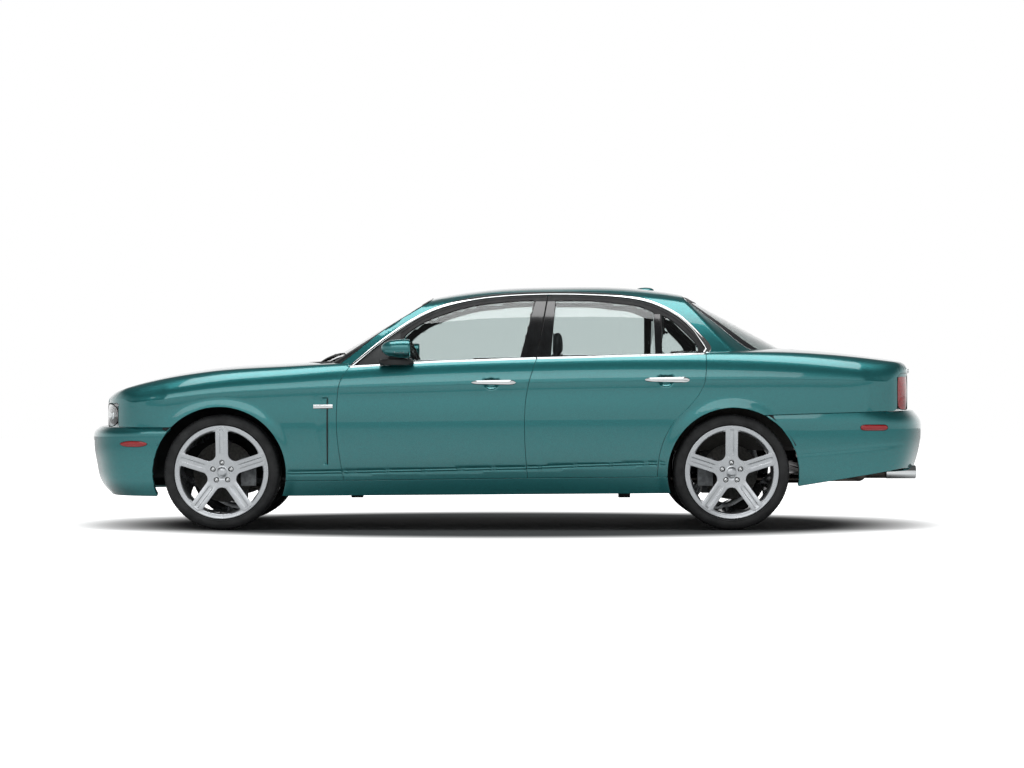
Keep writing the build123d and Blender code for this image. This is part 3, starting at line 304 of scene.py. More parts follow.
def shellParts(points, faces, depth, edge=2.5, taper=0.0, outward=None):
    # a patch given thickness: rounded border, straight walls and an inner skin
    points = np.asarray(points, float)
    faces = [list(f) for f in faces]
    normals = vertexNormals(points, faces)
    if outward is not None and np.sum(normals @ np.asarray(outward, float)) < 0:
        faces = [f[::-1] for f in faces]
        normals = -normals
    allPoints, allNormals, walls, rims = [points], [normals], [], []
    total = len(points)
    inner = points - normals * depth
    for loop in rimLoops(faces):
        p, n = points[loop], normals[loop]
        out = unit(np.cross(np.roll(p, -1, axis=0) - np.roll(p, 1, axis=0), n))
        last = list(loop)
        ahead = loop[1:] + loop[:1]
        for turn in (30, 60, 90, "wall"):
            if turn == "wall":
                ring, ringNormal = p + out * (edge - taper) - n * (depth - 1.0), out
            else:
                a = radians(turn)
                ring = p + out * edge * sin(a) - n * edge * (1 - cos(a))
                ringNormal = n * cos(a) + out * sin(a)
            now = list(range(total, total + len(loop)))
            total += len(loop)
            allPoints.append(ring)
            allNormals.append(ringNormal)
            count = len(loop)
            walls += [[last[(k + 1) % count], last[k], now[k], now[(k + 1) % count]] for k in range(count)]
            last = now
        inner[loop] = p + out * (edge - taper) - n * depth
        walls += [(last[(k + 1) % count], last[k], "rim", loop[k], ahead[k]) for k in range(count)]
    fixed = [[f[0], f[1], total + f[3], total + f[4]] if f[2] == "rim" else f for f in walls]
    back = [[total + i for i in face[::-1]] for face in faces]
    picks = [0] * (len(faces) + len(fixed)) + [1] * len(back)
    return (np.concatenate(allPoints + [inner]), faces + fixed + back, picks,
            np.concatenate(allNormals + [np.zeros_like(inner)]))


def shell(name, points, faces, mats, depth, edge=2.5, taper=0.0, outward=(0, -1, 0)):
    verts, allFaces, picks, normals = shellParts(points, faces, depth, edge, taper, outward)
    if len(mats) == 1:
        picks = [0] * len(picks)
    return makeObject(name, verts, allFaces, mats, picks, normals)


def sweepMesh(line, normals, profile, closed=False):  # a profile of (across, out) points carried along a line
    line = np.asarray(line, float)
    along = unit(np.roll(line, -1, axis=0) - np.roll(line, 1, axis=0) if closed else np.gradient(line, axis=0))
    across = unit(np.cross(normals, along))
    out = np.cross(along, across)
    rows = np.stack([line + across * a + out * o for a, o in profile], axis=1)
    n, m = rows.shape[:2]
    faces = []
    for i in range(n if closed else n - 1):
        k = (i + 1) % n
        for j in range(m):
            q = (j + 1) % m
            faces.append([i * m + j, i * m + q, k * m + q, k * m + j])
    return rows.reshape(-1, 3), faces if closed else faces + endCaps(n, m)


def spinMesh(profile, count, centre=(0, 0)):  # (along the axle, radius) points turned about the axle
    m, faces, rows = len(profile), [], []
    for i in range(count):
        a = 2 * pi * i / count
        rows += [(centre[0] + r * cos(a), y, centre[1] + r * sin(a)) for y, r in profile]
        k = (i + 1) % count
        for j in range(m):
            q = (j + 1) % m
            faces.append([i * m + j, k * m + j, k * m + q, i * m + q])
    return np.array(rows), faces


def roundBar(width, height, radius=1.5, steps=3):  # rounded rectangle, its foot on the surface
    w, out = width / 2 - radius, []
    for cx, cy, start in ((w, height - radius, 0), (-w, height - radius, 90), (-w, 0, 180), (w, 0, 270)):
        for k in range(steps + 1):
            a = radians(start + 90 * k / steps)
            out.append((cx + radius * cos(a), cy + radius * sin(a)))
    return out


def rightWay(obj):  # normals recalculated outwards
    bm = bmesh.new()
    bm.from_mesh(obj.data)
    bmesh.ops.remove_doubles(bm, verts=bm.verts, dist=1e-5)
    bmesh.ops.recalc_face_normals(bm, faces=bm.faces)
    bm.to_mesh(obj.data)
    bm.free()
    return obj


def applied(obj):  # the object's mesh with its modifiers worked in
    data = bpy.data.meshes.new_from_object(obj.evaluated_get(bpy.context.evaluated_depsgraph_get()))
    obj.modifiers.clear()
    obj.data = data
    return obj


def sharpen(obj, degrees):
    obj.data.set_sharp_from_angle(angle=radians(degrees))
    return obj


def solid(name, points, faces, mat, degrees=50):  # a closed piece, facing outwards, with its corners kept
    return sharpen(rightWay(makeObject(name, points, faces, mat)), degrees)


def closedRows(name, rows, mats, degrees=40):  # rings of points closed into a solid
    rows = np.asarray(rows)
    points, faces = gridPatch(rows, wrap=True)
    return solid(name, points, faces + endCaps(*rows.shape[:2]), mats, degrees)


def twin(obj, name):  # the same piece on the car's right
    data = obj.data.copy()
    data.transform(Matrix.Scale(-1, 4, (0, 1, 0)))
    data.flip_normals()
    return linked(name, data)


def place(obj, body="body", nodes=()):
    for node in nodes:
        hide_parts(node)
    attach(obj, body)
    return obj


def bothSides(obj, body, nodes=()):  # {side} in a name stands for left or right
    name = obj.name
    other = twin(obj, name + "_right")
    obj.name = name + "_left"
    for piece, side in ((obj, "left"), (other, "right")):
        place(piece, body.replace("{side}", side), [n.replace("{side}", side) for n in nodes])
    return obj, other


def mergedCopy(node, name, mat, degrees=32):  # a CAD node's own shape, merged and smoothly shaded
    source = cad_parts[node]
    data = source.data.copy()
    data.transform(source.matrix_world)
    bm = bmesh.new()
    bm.from_mesh(data)
    bmesh.ops.remove_doubles(bm, verts=bm.verts, dist=2e-6)
    bm.to_mesh(data)
    bm.free()
    data.materials.clear()
    data.materials.append(mat)
    data.polygons.foreach_set("use_smooth", [True] * len(data.polygons))
    return sharpen(linked(name, data), degrees)


# materials

def linear(hexColour):  # sRGB hex to linear
    parts = [int(hexColour[i:i + 2], 16) / 255 for i in (1, 3, 5)]
    return tuple(c / 12.92 if c <= 0.04045 else ((c + 0.055) / 1.055) ** 2.4 for c in parts) + (1.0,)


def perSize(size):  # texture scale for a pattern of that size in millimetres
    return 1.0 / (size * mm)


def addNode(tree, kind, settings=None, inputs=None):
    node = tree.nodes.new(kind if kind.startswith("GeometryNode") else "ShaderNode" + kind)
    for key, value in (settings or {}).items():
        setattr(node, key, value)
    for key, value in (inputs or {}).items():
        if isinstance(value, bpy.types.NodeSocket):
            tree.links.new(value, node.inputs[key])
        else:
            node.inputs[key].default_value = value
    return node


patterns = {  # node, settings, inputs, output
    "cloud": ("TexNoise", {}, {}, "Fac"),
    "flakes": ("TexVoronoi", {}, {}, "Color"),
    "cells": ("TexVoronoi", {"feature": "DISTANCE_TO_EDGE"}, {}, "Distance"),
    "ribs": ("TexWave", {"bands_direction": "Z"}, {}, "Fac"),
    "figure": ("TexWave", {"bands_direction": "Y"}, {"Distortion": 9.0, "Detail": 4.0}, "Fac"),
}


def tinted(tree, amount, colours, spread=(0.35, 0.65)):  # a pattern turned into two colours
    ramp = addNode(tree, "ValToRGB", inputs={"Fac": amount})
    for stop, position, colour in zip(ramp.color_ramp.elements, spread, colours):
        stop.position, stop.color = position, linear(colour)
    return ramp.outputs["Color"]


def makeFinish(name, constants, tone=None, gloss=None, relief=None, normal="Normal"):
    # tone: pattern, size, detail, two colours. gloss: size and detail of a cloud, two roughnesses.
    # relief: pattern, size, detail, strength, height. Sizes and heights are millimetres.
    mat = bpy.data.materials.new(name)
    mat.use_nodes = True
    tree = mat.node_tree
    shader = tree.nodes["Principled BSDF"]
    for key, value in constants.items():
        shader.inputs[key].default_value = linear(value) if isinstance(value, str) else value
    spot = addNode(tree, "TexCoord").outputs["Object"]

    def drawn(pattern, size, detail):
        kind, settings, inputs, output = patterns[pattern]
        inputs = {"Vector": spot, "Scale": perSize(size), **inputs, **({"Detail": detail} if detail else {})}
        made = addNode(tree, kind, settings, inputs).outputs[output]
        if pattern == "flakes":  # each flake is one shade
            made = addNode(tree, "SeparateColor", inputs={"Color": made}).outputs["Red"]
        return made

    if tone:
        spread = (0.0, 1.0) if tone[0] == "flakes" else (0.35, 0.65)
        tree.links.new(tinted(tree, drawn(*tone[:3]), tone[3:], spread), shader.inputs["Base Color"])
    if gloss:
        size, detail, low, high = gloss
        rough = addNode(tree, "MapRange", inputs={"Value": drawn("cloud", size, detail), "To Min": low, "To Max": high})
        tree.links.new(rough.outputs["Result"], shader.inputs["Roughness"])
    if relief:
        bump = addNode(tree, "Bump", inputs={"Height": drawn(*relief[:3]), "Strength": relief[3],
            "Distance": relief[4] * mm})
        tree.links.new(bump.outputs["Normal"], shader.inputs[normal])
    return mat


# sprayed metallic basecoat under lacquer: flakes sparkle, lacquer mirrors. Real flakes are 0.05 mm
paint = makeFinish("metallicBasecoat", {
    "Metallic": 0.72, "Roughness": 0.30, "Coat Weight": 1.0, "Coat Roughness": 0.03, "Coat IOR": 1.5},
    ("flakes", 1.2, 0, "#175F62", "#257B7D"), (60, 2, 0.27, 0.33), ("cloud", 9, 2, 0.02, 0.12), "Coat Normal")
# grey-green tinted safety glass
glass = makeFinish("tintedSafetyGlass", {
    "Base Color": "#DDE5E4", "Roughness": 0.0, "IOR": 1.45, "Transmission Weight": 1.0}, None, (300, 2, 0.0, 0.012))
# gloss pillar covers
frit = makeFinish("ceramicFrit", {"Roughness": 0.12, "Coat Weight": 0.6, "Coat Roughness": 0.04},
    ("cloud", 40, 2, "#0D0E0F", "#151718"))
# printed black border, duller than the pillar covers
border = makeFinish("printedBorder", {"Roughness": 0.4, "Specular IOR Level": 0.15},
    ("cloud", 30, 2, "#101214", "#191C1E"))
# moulded lenses, the red one with 4 mm optic ribs
clearLens = makeFinish("clearPolycarbonate", {"Base Color": "#EEF2F3", "IOR": 1.45, "Transmission Weight": 1.0},
    None, (50, 2, 0.01, 0.04))
redLens = makeFinish("redAcrylic", {"IOR": 1.45, "Transmission Weight": 0.2, "Coat Weight": 0.6},
    ("ribs", 4 * 6.28, 0, "#8A0C12", "#B4171D"), (25, 2, 0.05, 0.10), ("ribs", 4 * 6.28, 0, 0.25, 0.6))
# nickel-chrome plate with a faint polishing haze
chrome = makeFinish("brightChrome", {"Metallic": 1.0, "Base Color": "#D9DCDD"}, None, (30, 4, 0.05, 0.13))
# silver painted cast wheel
wheelSilver = makeFinish("silverWheelLacquer", {"Metallic": 0.85, "Coat Weight": 0.6, "Coat Roughness": 0.08},
    ("flakes", 1.0, 0, "#A9ADB1", "#BEC2C5"), (35, 3, 0.22, 0.36))
# moulded carbon-black rubber, slightly dusty
rubber = makeFinish("tyreRubber", {"Specular IOR Level": 0.35}, ("cloud", 70, 5, "#1A1B1C", "#2B2C2D"),
    (25, 4, 0.55, 0.8), ("cloud", 2.2, 3, 0.25, 0.3))
iron = makeFinish("turnedCastIron", {"Metallic": 0.9}, ("cloud", 14, 6, "#6E6C69", "#8C8A86"), (5, 3, 0.3, 0.5),
    ("cloud", 1.5, 2, 0.2, 0.15))
alloy = makeFinish("castAluminium", {"Metallic": 0.7}, ("cloud", 30, 6, "#55585A", "#747779"), (12, 3, 0.45, 0.65),
    ("cloud", 2.5, 4, 0.5, 0.5))
# sprayed stone-guard coating
underside = makeFinish("sprayedUnderseal", {"Specular IOR Level": 0.3}, ("cloud", 90, 5, "#1D1F20", "#2C2E2F"),
    (30, 3, 0.7, 0.9), ("cloud", 5, 4, 0.6, 0.8))
# rolled stainless steel, heat-tinted
steel = makeFinish("stainlessSteel", {"Metallic": 1.0}, ("cloud", 160, 3, "#3C3936", "#55514D"), (20, 5, 0.2, 0.4))
# lacquered burr walnut
walnut = makeFinish("walnutVeneer", {"Coat Weight": 0.8, "Coat Roughness": 0.05, "Roughness": 0.35},
    ("figure", 60, 0, "#4A2A16", "#83532B"))
pile = makeFinish("cutPileCarpet", {"Roughness": 0.95, "Sheen Weight": 0.3}, ("cloud", 3, 4, "#3B3A38", "#575552"),
    None, ("cloud", 3, 4, 0.8, 1.5))


def hide(name, *colours):  # finished leather: 2 mm grain cells, worn smooth in places
    return makeFinish(name, {"Specular IOR Level": 0.45}, ("cloud", 120, 4, *colours), (40, 3, 0.42, 0.6),
        ("cells", 2.4, 0, 0.35, 0.5))


def mouldedPlastic(name, first, second, rough=(0.5, 0.65), grain=1.6):  # moulded with a spark-eroded grain
    return makeFinish(name, {"Specular IOR Level": 0.4}, ("cloud", 80, 3, first, second), (30, 2, *rough),
        ("cloud", grain, 2, 0.25, 0.2))


leather = hide("greyLeather", "#3F4143", "#4D4F51")
darkHide = hide("darkLeather", "#232425", "#2F3031")
trim = mouldedPlastic("grainedPolypropylene", "#2A2C2D", "#353738")
palePlastic = mouldedPlastic("paleAbs", "#A79E8D", "#B3AA99")
blackPlastic = mouldedPlastic("blackAbs", "#111213", "#191A1B", (0.35, 0.5))
seal = mouldedPlastic("extrudedRubber", "#161718", "#202122", (0.6, 0.8), 3.0)
print("materials made")


# the body below the glass

bodyShape = {
    # x, half width, height of the waist crease, height of the deck, inset of the shoulder
    "rows": [
        (-2580, 900, 716, 762, 110), (-2399, 908, 738, 818, 120), (-2249, 914, 756, 878, 124),
        (-2100, 920, 772, 920, 120), (-1801, 926, 806, 974, 112), (-1279, 928, 838, 1010, 92),
        (-600, 930, 856, 1045, 72), (100, 930, 876, 1072, 72), (900, 930, 890, 1090, 76),
        (1400, 928, 896, 1100, 92), (1707, 924, 897, 1096, 108), (2080, 915, 891, 1065, 124),
        (2304, 906, 880, 1034, 128), (2600, 892, 866, 985, 128),
    ],
    "side": [(62, 165), (34, 330), (-8, 500), (-2, 740)],
    "shoulder": [(9, 0.34), (0.42, 0.70), (1.0, 0.80)],
    "deck": [(2.6, 0.93), (0.0, 1.06)],
    "spans": (720.0, 230.0, 800.0),  # length given to side, shoulder and half the deck along the section
    "nose": [(-2060, 925), (-2250, 880), (-2372, 700), (-2440, 350), (-2468, 0)],
    "tail": [(2150, 915), (2300, 862), (2395, 700), (2430, 350), (2440, 0)],
    "endRound": 42.0,
    "gap": 3.0,  # half of a shut line
}
arches = {"front": (-1712.0, 338.0, 398.0), "rear": (1342.0, 338.0, 393.0)}
flare = {"wide": 60.0, "out": 7.0}
scoop = {"deep": 7.0, "reach": 60.0}
lowerSpline = rowSpline(bodyShape["rows"])
sideSpan, shoulderSpan, deckSpan = bodyShape["spans"]
shoulderStart, deckStart, sectionEnd = sideSpan, sideSpan + shoulderSpan, sum(bodyShape["spans"])
nosePlan = curveThrough(bodyShape["nose"], 15)
tailPlan = curveThrough(bodyShape["tail"], 15)
planPieces = [np.concatenate([nosePlan[a], tailPlan[a]]) for a in (slice(0, -1), slice(1, None))]


def planHalf(x):  # half width that the rounded ends leave
    return np.where(x < 0, np.interp(x, nosePlan[::-1, 0], nosePlan[::-1, 1], right=990.0),
        np.interp(x, tailPlan[:, 0], tailPlan[:, 1], left=990.0))


def section(x, w):  # half width and height along the body's section
    half, crease, deck, inset = lowerSpline(x).T
    rise = deck - crease
    ctrl = [columns(half - inward, z) for inward, z in bodyShape["side"]]
    edge = columns(half - 5, crease)
    bend, bow, end = bodyShape["shoulder"]
    shoulder = [edge, columns(half - bend[0], crease + rise * bend[1])]
    shoulder += [columns(half - inset * a, crease + rise * b) for a, b in (bow, end)]
    crown, middle = bodyShape["deck"]
    near = columns(half - inset * crown[0], crease + rise * crown[1])
    top = columns(np.zeros_like(x), crease + rise * middle[1])
    mirror = np.array([-1.0, 1.0])
    deckLine = [shoulder[-1], near, top, near * mirror, shoulder[-1] * mirror]
    side = bezier(ctrl + [edge], np.clip(w / sideSpan, 0, 1))
    mid = bezier(shoulder, np.clip((w - shoulderStart) / shoulderSpan, 0, 1))
    over = bezier(deckLine, np.clip((w - deckStart) / deckSpan, 0, 1) / 2)
    pick = np.where(w[:, None] < shoulderStart, side, np.where(w[:, None] < deckStart, mid, over))
    return pick[:, 0], pick[:, 1], crease


sectionSteps = np.linspace(0, sectionEnd, 420)


def widthsAt(x, target, column):  # place along the section where its height or its half width is target
    out = []
    for a, b in zip(np.atleast_1d(x), np.atleast_1d(target)):
        y, z, _ = section(np.full_like(sectionSteps, a), sectionSteps)
        if column == "z":
            out.append(np.interp(b, z, sectionSteps))
        else:
            top = sectionSteps >= shoulderStart * 0.97
            out.append(np.interp(-b, -y[top], sectionSteps[top]))
    return np.array(out)


def fromSide(line):  # a line of (x, height) on the side, as (x, place along the section)
    line = np.asarray(line, float)
    return columns(line[:, 0], widthsAt(line[:, 0], line[:, 1], "z"))


def fromPlan(line):
    line = np.asarray(line, float)
    return columns(line[:, 0], widthsAt(line[:, 0], line[:, 1], "y"))


def endRounding(x, y):  # rolls the deck over where it meets the rounded ends
    half = planHalf(x)
    gap = np.full(len(x), 1e9)
    ends = (x < -2000) | (x > 2100)
    if ends.any():
        gap[ends] = nearest(columns(x, y)[ends], *planPieces)
    r = bodyShape["endRound"]
    share = np.clip(1 - gap / (1.3 * r), 0, 1)
    return np.where(y < half, r * (1 - np.sqrt(np.maximum(1 - share**2, 0))), r), half


vent = {"front": ((388, 560, 790), (-1096, -1128, -1152)), "rear": -1067.0, "z": (390.0, 792.0), "deep": 11.0}
doorHandles = {"front": (-97.0, 880.0), "rear": (941.0, 896.0), "cup": (55.0, 46.0), "deep": 14.0}
grooves = {"line": [(-1310, 346), (103, 377), (434, 391), (942, 406)], "apart": 15.0, "half": 4.0, "deep": 4.0}
grooveLine = np.array(grooves["line"], float)


def sideDetail(x, z, crease):  # how far the side stands out of its plain section
    out = np.zeros_like(x)
    below = (crease - z) / scoop["reach"]
    fade = smoothStep((x + 2330) / 330) * smoothStep((2330 - x) / 420)
    out -= np.where(below > 0, scoop["deep"] * below * np.exp(1 - below), 0) * fade
    for cx, cz, radius in arches.values():
        away = np.hypot(x - cx, z - cz) - radius
        out += flare["out"] * smoothStep(1 - away / flare["wide"]) * (away > -30)
    level = np.interp(x, grooveLine[:, 0], grooveLine[:, 1])
    ends = smoothStep((x + 1310) / 30) * smoothStep((942 - x) / 30)
    for offset in (0, grooves["apart"]):
        off = np.abs(z - level + offset) / grooves["half"]
        out -= grooves["deep"] * np.clip(1 - off, 0, 1) * ends
    a, b = doorHandles["cup"]
    for spot in ("front", "rear"):
        hx, hz = doorHandles[spot]
        r = np.hypot((x - hx) / a, (z - hz) / b)
        out -= doorHandles["deep"] * smoothStep((1 - r) / 0.45)
    rear = vent["rear"]
    ahead = np.interp(z, *vent["front"])
    depth = np.clip((x - ahead) / (rear - ahead), 0, 1) ** 0.8 * (x < rear + 0.3)
    foot, top = vent["z"]
    return out - vent["deep"] * depth * smoothStep((z - foot) / 8) * smoothStep((top - z) / 8)


def ventLines():
    zs = np.arange(vent["z"][0] - 4, vent["z"][1] + 5, 6.0)
    ahead = np.interp(zs, *vent["front"])
    lines = [columns(ahead + (vent["rear"] - ahead) * t, zs) for t in (0, 0.15, 0.4, 0.7, 1)]
    lines.append(columns(vent["rear"] + 1.6, zs))
    return [fromSide(line) for line in lines]


def lowerPoint(spots):  # left-hand point of the body for (x, place along the section)
    x, w = spots[:, 0], spots[:, 1]
    y, z, crease = section(x, w)
    y = y + sideDetail(x, z, crease) * (w < shoulderStart + 30)
    drop, half = endRounding(x, y)
    low = np.maximum(crease, 757.0)  # the roll ends at the crease
    outside = y > half
    if outside.any():
        corner = widthsAt(x[outside], half[outside], "y")
        rise = np.maximum(section(x[outside], corner)[1] - low[outside], 1)
        share = 1 - np.minimum(bodyShape["endRound"], 0.85 * rise) / rise
        above = np.maximum(z[outside] - low[outside], 0)
        z[outside] -= above * (1 - share)
    z = np.where(outside, z, z - np.minimum(drop, 0.85 * np.maximum(z - low, 0)))
    y = np.where(w < deckStart, smoothMin(y, half, 16.0), np.minimum(y, half))
    return columns(x, -y, z)


def deckHeight(x, y):
    w = widthsAt(x, np.abs(y), "y")
    return section(np.asarray(x, float), w)[1]


def cupRings():
    out = []
    for spot in ("front", "rear"):
        hx, hz = doorHandles[spot]
        for r in (0.2, 0.55, 0.7, 0.85, 1.0, 1.1):
            t = np.linspace(0, 2 * pi, int(10 + 26 * r), endpoint=False)
            a, b = doorHandles["cup"]
            out.append(columns(hx + a * r * np.cos(t), hz + b * r * np.sin(t)))
    return [fromSide(ring) for ring in out]


def bodyLines(x0, x1):  # rows of points along the crease and the grooves
    xs = np.arange(x0, x1, 14.0)
    lines = [columns(xs, shoulderStart + w) for w in (-60, -36, -18, -6, 0, 6, 18)]
    on = xs[(xs > -1310) & (xs < 942)]
    if len(on):
        level = np.interp(on, grooveLine[:, 0], grooveLine[:, 1])
        for offset in (0, grooves["apart"]):
            for edge in (-1, 0, 1):
                lines.append(fromSide(columns(on, level - offset + edge * grooves["half"])))
    return lines


def bodyPanel(name, outline, step, depth, mats, holes=(), taper=0.0, extra=()):
    low, high = outline[:, 0].min(), outline[:, 0].max()
    points, faces = flatPatch(outline, holes, step, bodyLines(low + 6, high - 6) + list(extra))
    return shell(name, lowerPoint(points), faces, mats, depth, taper=taper)


gap = bodyShape["gap"]
frontDoorEdge = curveThrough([(-972, 296), (-995, 421), (-1013, 576), (-1014, 729), (-998, 874), (-944, 968)], 12)
middleEdge = curveThrough([(119, 310), (106, 472), (101, 627), (108, 771), (132, 896), (173, 1020)], 12)
rearDoorEdge = curveThrough([(890, 317), (903, 446), (936, 553), (990, 646), (1070, 726), (1136, 806),
    (1174, 887), (1183, 1046)], 12)
beltLine = [(-944, 968), (-444, 998), (165, 1019), (434, 1026), (1183, 1047)]
sillLine = [(-1400, 293), (-980, 296), (110, 310), (1000, 318)]
bonnetSide = curveThrough([(-2500, 380), (-2400, 520), (-2250, 640), (-1700, 742), (-1100, 800)], 14)


def beltAt(x):
    return np.interp(x, [p[0] for p in beltLine], [p[1] for p in beltLine])


def sillAt(x):
    return np.interp(x, [p[0] for p in sillLine], [p[1] for p in sillLine])


def shifted(line, dx):
    return np.asarray(line, float) + np.array([dx, 0.0])


def doorSkin(name, front, rear):
    base = np.arange(front[0, 0] + 12, rear[0, 0] - 6, 13.0)
    top = np.arange(front[-1, 0] + 12, rear[-1, 0] - 6, 13.0)
    loop = joined(front[::-1], columns(base, sillAt(base) + gap), rear, columns(top, beltAt(top))[::-1])
    return bodyPanel(name, fromSide(loop), 15.0, 84.0, [paint, trim], taper=9.0, extra=cupRings())


frontSkin = doorSkin("frontDoorSkin", shifted(frontDoorEdge, gap), shifted(middleEdge, -gap))
rearSkin = doorSkin("rearDoorSkin", shifted(middleEdge, gap), shifted(rearDoorEdge, -gap))
bothSides(frontSkin, "front_door_{side}", ["front_door_{side}"])
bothSides(rearSkin, "rear_door_{side}", ["rear_door_{side}"])
print("door skins made")

wing = {"foot": 615.0, "lampBack": -2326.0, "lampTop": 760.0, "cowlY": 792.0, "cowlX": -1110.0}


def makeWing():
    cx, cz, radius = arches["front"]
    foot = wing["foot"]
    startAngle = 180 - degrees(asin((foot - cz) / radius))
    endAngle = degrees(asin((sillAt(-1316) + gap - cz) / radius))
    arch = arcLine((cx, cz), radius, startAngle, endAngle, 12)
    side = joined(straightLine([(wing["lampBack"] + gap, foot), tuple(arch[0])], 14), arch,
        straightLine([tuple(arch[-1]), (-972 - gap, 296 + gap)], 14), shifted(frontDoorEdge, -gap)[1:])
    lower = fromSide(side)
    edge = bonnetSide[(bonnetSide[:, 0] < wing["cowlX"])]
    seam = columns(edge[:, 0], edge[:, 1] + gap)[::-1]
    tip = planHalf(seam[:, 0]) - seam[:, 1] > 4
    seam = seam[tip]
    top = fromPlan(joined(straightLine([(-944 - gap, 852), (-944 - gap, wing["cowlY"]),
        (wing["cowlX"], wing["cowlY"])], 14), seam))
    front = np.arange(seam[-1, 0] + 4, wing["lampBack"], 10.0)
    down = np.linspace(wing["lampTop"] - 10, wing["foot"] + 12, 10)
    lampEdge = fromSide(joined(columns(front, wing["lampTop"]),
        columns(wing["lampBack"] + gap, down)))
    return bodyPanel("wingSkin", joined(lower, top, lampEdge), 16.0, 24.0, [paint, underside], extra=ventLines())


bothSides(makeWing(), "body", ["wings"])


quarter = {"lampFront": 2325.0, "lampTop": 938.0, "lid": 643.0, "lidFront": 1748.0, "shelfY": 562.0,
    "bumper": [(1480, 686), (2380, 715), (2700, 719)]}


def makeQuarter():
    cx, cz, radius = arches["rear"]
    bumper = np.array(quarter["bumper"], float)
    endAngle = 60.0
    for _ in range(12):  # where the arch meets the bumper's top
        height = np.interp(cx + radius * cos(radians(endAngle)), bumper[:, 0], bumper[:, 1])
        endAngle = degrees(asin((height - cz) / radius))
    base = degrees(asin((sillAt(950) + gap - cz) / radius))
    arch = arcLine((cx, cz), radius, 180 - base, endAngle, 12)
    along = np.arange(arch[-1, 0] + 12, quarter["lampFront"] - gap - 4, 14.0)
    up = np.linspace(724, quarter["lampTop"] - 8, 14)
    lamp = columns(quarter["lampFront"] - gap, up)
    doorEdge = shifted(rearDoorEdge, gap)
    side = joined(doorEdge[::-1], straightLine([tuple(doorEdge[0]), tuple(arch[0])], 12), arch,
        columns(along, np.interp(along, bumper[:, 0], bumper[:, 1])), lamp)
    across = np.arange(quarter["lampFront"], 2405, 9.0)
    lampTop = fromSide(columns(across, quarter["lampTop"]))
    lastX = float(np.interp(-(quarter["lid"] + 4), -tailPlan[:, 1], tailPlan[:, 0]))
    lampTop = lampTop[lampTop[:, 0] < lastX - 2]
    top = fromPlan(joined(straightLine([(lastX, quarter["lid"]), (quarter["lidFront"], quarter["lid"]),
        (quarter["lidFront"], quarter["shelfY"]),
        (1190, quarter["shelfY"]), (1186, 850)], 15)))
    return bodyPanel("quarterSkin", joined(fromSide(side), lampTop, top), 16.0, 24.0, [paint, underside])


bothSides(makeQuarter(), "body", ["quarters"])
print("wings and quarters made")

sillShape = {"foot": [(-1400, 205), (1000, 222)], "deep": 40.0}


def archEdge(which, z, way):
    cx, cz, radius = arches[which]
    return cx + way * np.sqrt(np.maximum(radius**2 - (z - cz) ** 2, 0.0))


def makeSill():
    foot = np.array(sillShape["foot"], float)
    ahead, behind = np.linspace(206, 289, 8), np.linspace(313, 222, 8)
    top, bottom = np.arange(-1305, 940, 14.0), np.arange(960, -1325, -14.0)
    loop = joined(columns(archEdge("front", ahead, 1), ahead), columns(top, sillAt(top) - gap),
        columns(archEdge("rear", behind, -1), behind),
        columns(bottom, np.interp(bottom, foot[:, 0], foot[:, 1])))
    return bodyPanel("sillSkin", fromSide(loop), 14.0, sillShape["deep"], [paint, underside], taper=6.0)


bothSides(makeSill(), "body", ["sills"])


# bonnet and boot lid

bonnetShape = {"tail": [(-1247, 0), (-1213, 400), (-1112, 794)], "deep": 20.0}


def topPatch(outline, step, lines=()):
    points, faces = flatPatch(outline, [], step, lines)
    z = deckHeight(points[:, 0], points[:, 1])
    drop, _ = endRounding(points[:, 0], np.abs(points[:, 1]))
    return columns(points[:, 0], points[:, 1], z - drop), faces


def makeBonnet():
    seam = columns(bonnetSide[:, 0], bonnetSide[:, 1] - gap)
    seam = seam[(planHalf(seam[:, 0]) - seam[:, 1] > 3) & (seam[:, 0] < -1112)]
    nose = nosePlan[(nosePlan[:, 1] < seam[0, 1] - 6)]
    tail = curveThrough(bonnetShape["tail"], 15)
    half = joined(tail, seam[::-1], nose)
    loop = joined(half, (half * np.array([1, -1]))[::-1][1:-1])
    rolls = []
    for inset in (1.5, 4, 8, 13, 20, 29, 40, 54):
        line = nose + np.array([inset, 0])
        rolls += [line, line * np.array([1, -1])]
    points, faces = topPatch(loop, 22.0, rolls)
    return shell("bonnetSkin", points, faces, [paint, underside], bonnetShape["deep"], outward=(0, 0, 1))


place(makeBonnet(), "bonnet", ["bonnet"])

bootShape = {"half": 637.0, "front": 1754.0, "lip": 722.0, "lean": 42.0, "leanFrom": 880.0, "leanOver": 150.0,
    "corner": 58.0, "deep": 22.0}


def bootFaceX(y, z):
    tail = np.interp(-np.abs(y), -tailPlan[:, 1], tailPlan[:, 0])
    return tail - bootShape["lean"] * smoothStep((z - bootShape["leanFrom"]) / bootShape["leanOver"])


